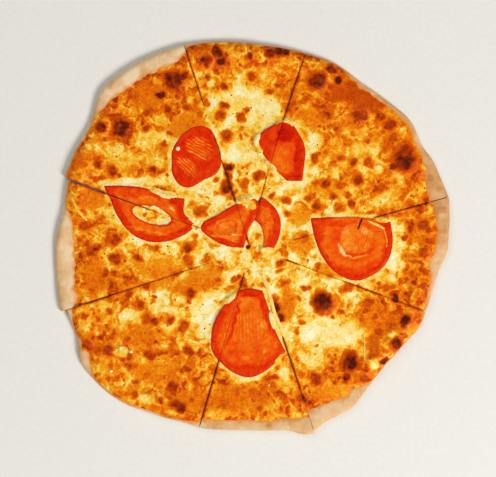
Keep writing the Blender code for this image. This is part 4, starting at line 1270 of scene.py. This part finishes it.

# Marks in the flesh, a few of them painted highlights: middle and half sizes in mm, turn, ripeness
# there, and softness of the edge
SOFT_MARKS = [
    (-40.3, 67.8, 10.0, 7.5, -28, 0.42, 0.6),
    (-49.5, 54.5, 9.0, 4.2, -44, 0.40, 0.6),
    (77.0, -2.0, 24.0, 20.6, 0, 0.60, 0.16),
    (77.0, -2.0, 19.0, 16.6, 0, 0.52, 0.3),
    (78.5, -1.5, 14.6, 13.4, 0, 0.40, 0.2),
    (79.0, -1.0, 12.6, 11.6, 0, 0.62, 0.25),
    (72.0, 0.0, 5.0, 8.0, 0, 0.76, 0.8),
    # Painted highlight: a pale crescent where light glints on the wet flesh of the right slice
    (67.6, -9.0, 1.7, 6.0, 33, 0.96, 0.6),
    (72.2, -13.6, 3.4, 0.9, -32, 0.90, 0.7),
    (81.0, -14.6, 7.0, 0.6, 10, 0.80, 0.8),
    (57.5, -12.0, 0.7, 11.0, 30, 0.62, 0.8),
    (60.0, 10.5, 14.0, 2.6, -2, 0.42, 0.6),
    (64.0, 7.0, 9.0, 1.0, 2, 0.58, 0.8),
    (88.0, 4.0, 7.0, 2.2, -35, 0.74, 0.7),
    (97.0, -6.0, 1.4, 9.0, -8, 0.62, 0.8),
    (-61.5, 22.4, 4.2, 1.1, -38, 0.90, 0.8),
    (-63.5, 24.4, 3.6, 0.7, -34, 0.74, 0.8),
    (-62.0, 33.0, 8.0, 1.8, -14, 0.80, 0.8),
    (-54.5, 23.5, 4.0, 6.5, 0, 0.26, 0.6),
    (-66.0, 27.0, 2.4, 6.0, 20, 0.50, 0.6),
    (-92.0, 34.0, 14.0, 3.4, -8, 0.42, 0.6),
    (-78.0, 29.0, 8.0, 2.2, -14, 0.64, 0.7),
    (-80.0, 5.4, 15.0, 1.2, -12, 0.70, 0.8),
    (25.0, 79.0, 7.0, 6.0, 30, 0.12, 0.7),
    (20.0, 78.0, 9.0, 1.3, 58, 0.05, 0.8),
    (12.5, 70.0, 6.5, 7.0, 30, 0.28, 0.7),
    (22.0, 59.0, 7.0, 10.0, 24, 0.58, 0.8),
    (34.5, 58.0, 3.4, 14.0, 0, 0.20, 0.6),
    (-19.0, 8.0, 10.5, 7.5, 12, 0.68, 0.2),
    (-19.0, 8.0, 8.6, 5.9, 12, 0.45, 0.2),
    (-20.0, 8.2, 7.0, 4.6, 12, 0.66, 0.3),
    (-21.5, 9.0, 3.4, 2.0, 20, 0.74, 0.6),
    (-3.0, 25.5, 5.0, 4.6, 0, 0.84, 0.9),
    (-6.0, 27.0, 2.0, 2.6, 20, 0.96, 0.9),
    (1.5, 19.0, 3.4, 6.0, -10, 0.34, 0.7),
    (-22.0, -0.2, 12.0, 0.8, -18, 0.70, 0.8),
    (-12.0, 3.0, 5.0, 0.6, -6, 0.84, 0.7),
    (9.6, 4.0, 2.8, 12.0, -2, 0.62, 0.8),
    (10.0, 17.0, 3.2, 6.0, -32, 0.60, 0.8),
    (-2.0, -62.0, 9.0, 17.0, 8, 0.60, 0.8),
    (-6.0, -48.0, 8.0, 4.0, 10, 0.66, 0.9),
    (9.0, -66.0, 2.2, 3.4, 10, 0.74, 0.8),
    # The next two: pale seed gel on the bottom slice, with a painted highlight where light glints on it
    (10.0, -86.0, 3.8, 1.1, 48, 0.84, 0.8),
    (13.0, -84.0, 2.6, 0.8, 52, 0.90, 0.8),
    (13.0, -80.0, 7.0, 6.0, 20, 0.60, 0.7),
    (-5.0, -91.0, 3.4, 1.4, -4, 0.72, 0.8),
    (-2.0, -99.5, 12.0, 3.6, 4, 0.32, 0.6),
    (1.0, -43.0, 9.0, 2.2, 4, 0.24, 0.6),
    (9.5, -56.0, 1.6, 12.0, 17, 0.30, 0.7),
    (-14.0, -64.0, 1.5, 18.0, -17, 0.24, 0.6),
    (-20.5, -72.0, 0.8, 13.0, -17, 0.58, 0.8),
]

# Fine pale lines in the flesh: middle and half sizes in mm, direction, strength, and spacing in mm
STREAKED = [
    (-40.3, 67.8, 11.0, 8.5, -28, 0.46, 2.2),
    (-49.5, 54.5, 10.5, 5.2, -44, 0.44, 2.1),
    (-1.0, -68.0, 11.0, 24.0, 92, 0.14, 2.6),
    (80.0, 0.0, 11.0, 10.0, 78, 0.16, 1.8),
    (-82.0, 31.0, 24.0, 5.0, -10, 0.12, 2.0),
    (-78.0, 2.0, 24.0, 4.0, -8, 0.09, 1.6),
    (22.0, 60.0, 10.0, 14.0, 70, 0.10, 2.2),
    (-22.0, 4.0, 14.0, 9.0, 14, 0.12, 1.9),
    (17.0, 8.0, 5.0, 18.0, 96, 0.10, 1.8),
]
print("marks in the flesh:", len(SOFT_MARKS), "fields of fine lines:", len(STREAKED))

# %% [markdown]
# Ripeness is worked out from the skin inward: a dark edge, the red band, a thin darker seam, and
# the flesh. The marks come on top, a few of them painted highlights. The fine lines are a sine
# across their direction, made wavy and broken up by the mottle, so that they don't look ruled.

# %% Ripeness of the tomato
SKIN_RIPE, EDGE_RIPE = 0.30, 0.20
SKIN_WIDE = 1.5 * MM

# The seam between band and flesh: how far past the band, its half width, and how much darker it is
SEAM_PAST, SEAM_HALF, SEAM_DARKER = 0.4, 0.5 * MM, 0.05

# A field of fine lines is whole up to FIELD_FULL of its size and gone at FIELD_GONE
FIELD_FULL, FIELD_GONE = 0.85, 1.15


def fine_lines(x, y, turn, spacing):
    """Wavy, broken lines along a direction: 1 on a line and 0 between two."""
    angle = math.radians(turn)
    sideways = y * math.cos(angle) - x * math.sin(angle)
    sideways = sideways + 0.7 * MM * mottle(x, y, 4 * MM, 62) + 0.3 * MM * mottle(x, y, 2 * MM, 66)
    lines = smooth(np.sin(sideways / (spacing * MM) * 2 * math.pi) * 1.4 - 0.3)
    return lines * smooth(0.9 + 1.4 * mottle(x, y, 3 * MM, 67))


def ripeness(name, x, y, inside):
    """Ripeness and a few painted highlights: bands from the skin inward, then marks and fine lines."""
    band, change, flesh = BANDS[name]
    wavy = inside + 0.6 * MM * mottle(x, y, 7 * MM, 61)
    ripe = EDGE_RIPE + (SKIN_RIPE - EDGE_RIPE) * smooth(wavy / SKIN_WIDE)
    ripe = ripe + (flesh - SKIN_RIPE) * smooth((wavy - band * MM) / (change * MM))
    ripe = ripe - SEAM_DARKER * np.exp(-(((wavy - (band + SEAM_PAST) * MM) / SEAM_HALF) ** 2))
    mark_x = x + MM * (1.0 * mottle(x, y, 3.5 * MM, 69) + 0.5 * mottle(x, y, 1.6 * MM, 71))
    mark_y = y + MM * (1.0 * mottle(x, y, 3.5 * MM, 70) + 0.5 * mottle(x, y, 1.6 * MM, 72))
    for *shape, level, softness in SOFT_MARKS:
        away = oval(mark_x, mark_y, *shape)
        ripe = ripe + (level - ripe) * smooth((1 + softness / 2 - away) / softness)
    for *shape, turn, pale, spacing in STREAKED:
        field = smooth((FIELD_GONE - oval(x, y, *shape, turn)) / (FIELD_GONE - FIELD_FULL))
        ripe = ripe + pale * field * fine_lines(x, y, turn, spacing)
    return ripe + 0.05 * mottle(x, y, 5 * MM, 63) + 0.03 * mottle(x, y, 2 * MM, 68)


ripest = max(flesh for _, _, flesh in BANDS.values())
print("ripeness from", EDGE_RIPE, "at the edge to", ripest, "in the ripest flesh")

# %% [markdown]
# A cut leaves two solids of tomato with a gap between them. On the real pizza the wet flesh closed
# again behind the knife in places, so only a line is left. There the points near the cut are drawn
# towards it, those on the cut faces the most.

# %% Cuts that closed again
# The cut, and between which distances from the hub in mm it closed
CLOSED_OVER = [(2, 20, 110), (3, 0, 42), (4, 0, 90), (6, 30, 110)]

# Half the gap between two solids, half the gap that is left, and how far from the cut points move
NODE_GAP_HALF, CLOSED_HALF, CLOSING_WIDTH = 0.35 * MM, 0.06 * MM, 1.5 * MM


def close_cuts(points):
    """Draws the faces at a cut together, where the flesh closed again behind the knife."""
    for cut, start, end in CLOSED_OVER:
        turn = math.radians(CUTS[cut][0])
        east, north = points[:, 0] - HUB[0], points[:, 1] - HUB[1]
        reach = east * math.cos(turn) + north * math.sin(turn)
        aside = north * math.cos(turn) - east * math.sin(turn) - cut_offset(cut, np.maximum(reach, 0))
        near = (reach > start * MM) & (reach < end * MM) & (np.abs(aside) < CLOSING_WIDTH)
        share = (np.abs(aside) - NODE_GAP_HALF) / (CLOSING_WIDTH - NODE_GAP_HALF)
        wanted = CLOSED_HALF + (CLOSING_WIDTH - CLOSED_HALF) * np.maximum(share, 0)
        move = np.where(near, np.sign(aside) * wanted - aside, 0)
        points[:, 0] -= move * math.sin(turn)
        points[:, 1] += move * math.cos(turn)


print("closed cuts:", [cut for cut, _, _ in CLOSED_OVER])

# %% [markdown]
# The tomato pieces have odd outlines, one with a hole and most with a cut side, so they are made
# from their solids: a copy is remeshed into small even cells, which keeps the form and gives
# enough points for wrinkles and colour. Then each point gets its height and its ripeness from its
# distance to the skin. Remeshing and smoothing shrink a piece a little, so its skin is pushed out
# again along the normals.

# %% The tomato pieces
CELL = 0.45 * MM
ROUNDING, ROUNDING_TIMES = 0.5, 3
SKIN_REGAIN, REGAIN_IN = 0.35 * MM, 1.8 * MM
EDGE_DROP, EDGE_DROP_IN = 0.5 * MM, 2.6 * MM

# The wrinkled top: how far below the highest place it starts, and over what height it begins
TOP_DEPTH, TOP_CHANGE = 2.2 * MM, 1.2 * MM
WRINKLES_IN, WRINKLES_DOWN = 1.5 * MM, 0.1

# Ripeness of the sides and the underside
SIDE_RIPE = 0.2

# Round the chamber the band is wider than along the skin
CHAMBER_BAND, CHAMBER_PULL = 3 * MM, 3


def remeshed(node):
    """The node's solid as a closed mesh of small even cells."""
    copy = bpy.data.objects.new("copy", frame["nodes"][node].data.copy())
    bpy.context.scene.collection.objects.link(copy)
    cells = copy.modifiers.new("cells", "REMESH")
    cells.mode = "VOXEL"
    cells.voxel_size = CELL
    rounding = copy.modifiers.new("rounding", "SMOOTH")
    rounding.factor = ROUNDING
    rounding.iterations = ROUNDING_TIMES
    bpy.context.view_layer.update()
    mesh = bpy.data.meshes.new_from_object(copy.evaluated_get(bpy.context.evaluated_depsgraph_get()))
    bpy.data.objects.remove(copy)
    mesh.materials.clear()
    return mesh


def read_vectors(mesh, what):
    """One vector for each point of a mesh, such as its place or its normal."""
    values = np.empty(len(mesh.vertices) * 3)
    mesh.vertices.foreach_get(what, values)
    return values.reshape(-1, 3)


def tomato_piece(node):
    """One piece of tomato, with its ripeness and painted highlights, in place of its solid."""
    name = next(known for known in TOMATOES if node.startswith(known))
    top = tomato_top(name)
    mesh = remeshed(node)
    points = read_vectors(mesh, "co")
    x, y, z = points.T
    inside = distance_inside(x, y, CURVES[name])
    if name == "tomato_left":
        inside = np.minimum(inside, CHAMBER_BAND + CHAMBER_PULL * np.maximum(outside_chamber(x, y), 0))
    upper = smooth((z - top + TOP_DEPTH) / TOP_CHANGE)
    wrinkle = 0.20 * mottle(x, y, 5 * MM, 64) + 0.14 * mottle(x, y, 2.2 * MM, 65) - WRINKLES_DOWN
    dropped = EDGE_DROP * (1 - smooth(inside / EDGE_DROP_IN))
    points[:, 2] = np.minimum(z + upper * (wrinkle * MM * smooth(inside / WRINKLES_IN) - dropped), top)
    ripe = ripeness(name, x, y, inside) * upper + SIDE_RIPE * (1 - upper)
    regain = SKIN_REGAIN * (1 - smooth(inside / REGAIN_IN))
    points[:, :2] += read_vectors(mesh, "normal")[:, :2] * regain[:, None]
    close_cuts(points)
    mesh.vertices.foreach_set("co", points.ravel())
    add_field(mesh, "ripe", np.clip(ripe, 0, 1))
    return put_on_pizza(f"baked_{node}", mesh, TOMATO_FINISH, node)


for node in sorted(name for name in frame["nodes"] if name.startswith("tomato")):
    tomato = tomato_piece(node)
    print(tomato.name, len(tomato.data.polygons), "cells")

# %% [markdown]
# A few flecks of dried oregano are scattered on the pizza. They are scraps of leaf, dull olive to
# dark green, dry and matt. To the eye they are dark specks, so a plain two-tone noise is enough.
# Typical values for dry leaf: IOR 1.45, roughness 0.85.

# %% Finish: dried herb
LEAF_TONE_MM = 2.5


def dried_herb():
    material, tree = new_finish("dried_herb")
    place = add(tree, "ShaderNodeTexCoord", {}).outputs["Object"]
    leaf = add(tree, "ShaderNodeTexNoise", {"Vector": place, "Scale": per_metre(LEAF_TONE_MM), "Detail": 2.0})
    tone = add(tree, "ShaderNodeValToRGB", {0: leaf.outputs[0]}, stops=[(0.35, "#241E06"), (0.65, "#56480E")])
    shader = add(tree, "ShaderNodeBsdfPrincipled", {
        "Base Color": tone.outputs[0], "Roughness": 0.85, "IOR": 1.45, "Specular IOR Level": 0.1})
    tree.links.new(shader.outputs[0], tree.nodes["Material Output"].inputs["Surface"])
    return material


HERB_FINISH = dried_herb()
print("finish:", HERB_FINISH.name, "with", len(HERB_FINISH.node_tree.nodes), "nodes")

# %% [markdown]
# Small things lie on the pizza: shreds of cheese that never quite melted, a few crumbs of it, and
# the flecks of herb. Each kind is one mesh. To lay them down, a ray is cast at each spot from
# above onto the finished pieces, and the height where it meets them is where the thing lies.

# %% Height of the finished pizza
from mathutils import Vector
from mathutils.bvhtree import BVHTree

ABOVE_PIZZA = 50 * MM


def height_finder():
    """A function that gives the height of the finished pizza at a place."""
    graph = bpy.context.evaluated_depsgraph_get()
    starts = ("cheese_slice", "dough_slice", "baked_tomato")
    pieces = [obj for obj in bpy.data.objects if obj.name.startswith(starts)]
    trees = [BVHTree.FromObject(piece, graph) for piece in pieces]

    def height(x, y):
        hits = [tree.ray_cast(Vector((x, y, ABOVE_PIZZA)), Vector((0, 0, -1)))[0] for tree in trees]
        return max((hit.z for hit in hits if hit), default=0.0)

    return height


height_at = height_finder()
print("height at the hub in mm:", round(height_at(*HUB) / MM, 2))

# %% [markdown]
# A shred is a rounded strip along a smooth path. Its path has a few points, and cutting their
# corners three times makes it a curve. Its cross-section is an oval that narrows at both ends, and
# each of its points rests on what lies below it, so it drapes. The wide ones are melted patches
# over the edge of a tomato slice.

# %% Shreds of cheese
# Each shred: width and thickness in mm, browning, and its path in mm
SHREDS = [
    (3.2, 1.2, 0.16, [
        (7.3, -24.0), (9.0, -32.0), (13.2, -43.0), (16.0, -55.0), (20.8, -66.0), (23.5, -75.0)]),
    (2.5, 1.1, 0.24, [(-137.4, 31.5), (-135.2, 26.0), (-131.5, 19.5), (-127.0, 14.5), (-125.5, 13.0)]),
    (1.8, 0.7, 0.18, [(87.5, 13.0), (91.5, 11.0), (96.0, 9.4), (100.4, 6.6)]),
    (1.2, 0.6, 0.30, [(99.2, 7.2), (101.5, 2.0), (102.3, -3.0), (101.8, -7.0)]),
    (0.9, 0.6, 0.16, [(84.8, -76.1), (85.6, -82.0), (84.9, -88.0), (85.3, -93.6)]),
    (1.2, 0.7, 0.16, [(30.5, 84.6), (27.0, 89.2), (20.5, 88.4), (18.0, 86.0)]),
    (5.4, 0.6, 0.18, [(-76.5, 37.5), (-70.0, 34.4), (-63.5, 33.4), (-57.0, 32.0)]),
    (3.6, 0.8, 0.10, [(-73.0, 35.6), (-67.5, 31.6), (-62.0, 30.6)]),
    (6.5, 0.6, 0.26, [(-10.6, 29.4), (-5.5, 27.6), (-1.0, 25.6), (2.0, 22.0)]),
    (3.0, 0.6, 0.12, [(-8.5, 32.0), (-5.0, 28.0), (-4.0, 22.5)]),
]
RING_POINTS = 14
CORNER_CUTS = 3

# How far the side of a shred can hang below the highest place under it, and the share of its
# thickness by which its middle stands above what it rests on
SHRED_SAG = 1.2 * MM
SHRED_LIFT = 0.15


def corners_cut(path):
    """A path with its corners cut again and again, until it is a smooth curve."""
    for _ in range(CORNER_CUTS):
        cut = [path[0]]
        for a, b in zip(path, path[1:]):
            cut += [0.75 * a + 0.25 * b, 0.25 * a + 0.75 * b]
        path = np.array(cut + [path[-1]])
    return path


def shred(path, width, thick, points, faces):
    """Adds one rounded strip to the lists of points and faces."""
    path = corners_cut(np.array(path) * MM)
    steps = np.gradient(path, axis=0)
    first = len(points)
    last_ring = len(path) - 1
    for number, ((x, y), (step_x, step_y)) in enumerate(zip(path, steps)):
        size = math.sqrt(max(math.sin(math.pi * (number + 0.3) / (last_ring + 0.6)), 0))
        size *= 0.85 + 0.25 * float(mottle(np.array([x]), np.array([y]), 2.5 * MM, 81)[0])
        length = math.hypot(step_x, step_y)
        left_x, left_y = -step_y / length, step_x / length
        turns = [2 * math.pi * around / RING_POINTS for around in range(RING_POINTS)]
        sides = [0.5 * width * MM * size * math.cos(turn) for turn in turns]
        below = [height_at(x + left_x * side, y + left_y * side) for side in sides]
        for turn, side, height in zip(turns, sides, below):
            rest = max(height, max(below) - SHRED_SAG) + SHRED_LIFT * thick * MM
            rise = 0.5 * thick * MM * size * math.sin(turn)
            points.append((x + left_x * side, y + left_y * side, min(rest + rise, HIGHEST_CHEESE)))
    for ring in range(last_ring):
        for around in range(RING_POINTS):
            a = first + ring * RING_POINTS + around
            b = first + ring * RING_POINTS + (around + 1) % RING_POINTS
            faces.append((a, b, b + RING_POINTS, a + RING_POINTS))
    faces.append(tuple(range(first + RING_POINTS - 1, first - 1, -1)))
    faces.append(tuple(range(first + last_ring * RING_POINTS, first + (last_ring + 1) * RING_POINTS)))


def lay_shreds():
    """All the shreds as one piece, each with its own browning."""
    points, faces, browning = [], [], []
    for width, thick, brown, path in SHREDS:
        shred(path, width, thick, points, faces)
        browning += [brown] * (len(points) - len(browning))
    mesh = bpy.data.meshes.new("cheese_shreds")
    mesh.from_pydata(points, [], [face[::-1] for face in faces])
    add_field(mesh, "browning", browning)
    return put_on_pizza("cheese_shreds", mesh, CHEESE_FINISH)


shreds = lay_shreds()
print("shreds:", len(SHREDS), "with", len(shreds.data.polygons), "faces")

# %% [markdown]
# Crumbs and herb flecks are balls with few faces, each squashed and turned by a seeded draw, so no
# two are alike. The flecks fell everywhere, but they show on the pale cheese, so more lie there.

# %% Crumbs and herb flecks
# Crumbs of cheese: middle and radius in mm
CRUMBS = [
    (-56.5, 67.8, 1.8), (-100.2, -83.7, 1.5), (-92.0, -86.5, 1.2), (-107.2, -101.2, 1.3), (-97.0, -85.5, 0.8),
    (-103.5, -86.0, 0.7), (33.0, 89.0, 0.7), (60.0, 81.5, 0.7), (71.0, 95.0, 0.6), (-128.0, 47.0, 0.6),
    (-24.0, -21.0, 0.7), (12.5, -112.0, 0.7), (-64.0, -36.0, 0.6),
]
CRUMB_BROWNING = 0.02
FLECKS = 170
FLECK_RADIUS = (0.25, 0.6)

# Three times as many places are drawn for the flecks as are kept, and most keep to the pale pools
DRAWN_FLECKS = 3 * FLECKS
ANYWHERE = 0.15

# Height of a ball for its width, and how far its middle is lifted in shares of its height
CRUMB_FLATNESS, FLECK_FLATNESS = 0.7, 0.3
BALL_LIFT = 0.4


def scattered_balls(name, spots, flatness, draw):
    """One mesh of small uneven balls, one at each x, y and radius."""
    work = bmesh.new()
    for x, y, radius in spots:
        ball = bmesh.ops.create_icosphere(work, subdivisions=1, radius=1)["verts"]
        stretch = draw.uniform(0.75, 1.25, 2)
        turn = draw.uniform(0, math.pi)
        base = height_at(x, y)
        for vertex in ball:
            uneven = draw.uniform(0.85, 1.15)
            along, across = vertex.co.x * stretch[0] * uneven, vertex.co.y * stretch[1] * uneven
            vertex.co.x, vertex.co.y, vertex.co.z = (
                x + radius * (along * math.cos(turn) - across * math.sin(turn)),
                y + radius * (along * math.sin(turn) + across * math.cos(turn)),
                np.clip(base + radius * flatness * (vertex.co.z * uneven + BALL_LIFT), 0, HIGHEST_CHEESE))
    mesh = bpy.data.meshes.new(name)
    work.to_mesh(mesh)
    work.free()
    return mesh


def fleck_spots(draw):
    """The place and radius of each fleck, most of them on the pale pools."""
    x, y = chance_places(draw, DRAWN_FLECKS, 0.9 * NOMINAL_RADIUS)
    kept = draw.random(DRAWN_FLECKS) < ANYWHERE + (1 - ANYWHERE) * ovals(x, y, PALE_POOLS)
    radius = draw.uniform(*FLECK_RADIUS, DRAWN_FLECKS) * MM
    return list(zip(x[kept], y[kept], radius[kept]))[:FLECKS]


draw = np.random.default_rng(23)
crumb_spots = [(x * MM, y * MM, radius * MM) for x, y, radius in CRUMBS]
crumbs = scattered_balls("cheese_crumbs", crumb_spots, CRUMB_FLATNESS, draw)
add_field(crumbs, "browning", [CRUMB_BROWNING] * len(crumbs.vertices))
put_on_pizza("cheese_crumbs", crumbs, CHEESE_FINISH)
flecks = scattered_balls("herb_flecks", fleck_spots(draw), FLECK_FLATNESS, draw)
put_on_pizza("herb_flecks", flecks, HERB_FINISH)
print("crumbs:", len(CRUMBS), "fleck faces:", len(flecks.polygons))
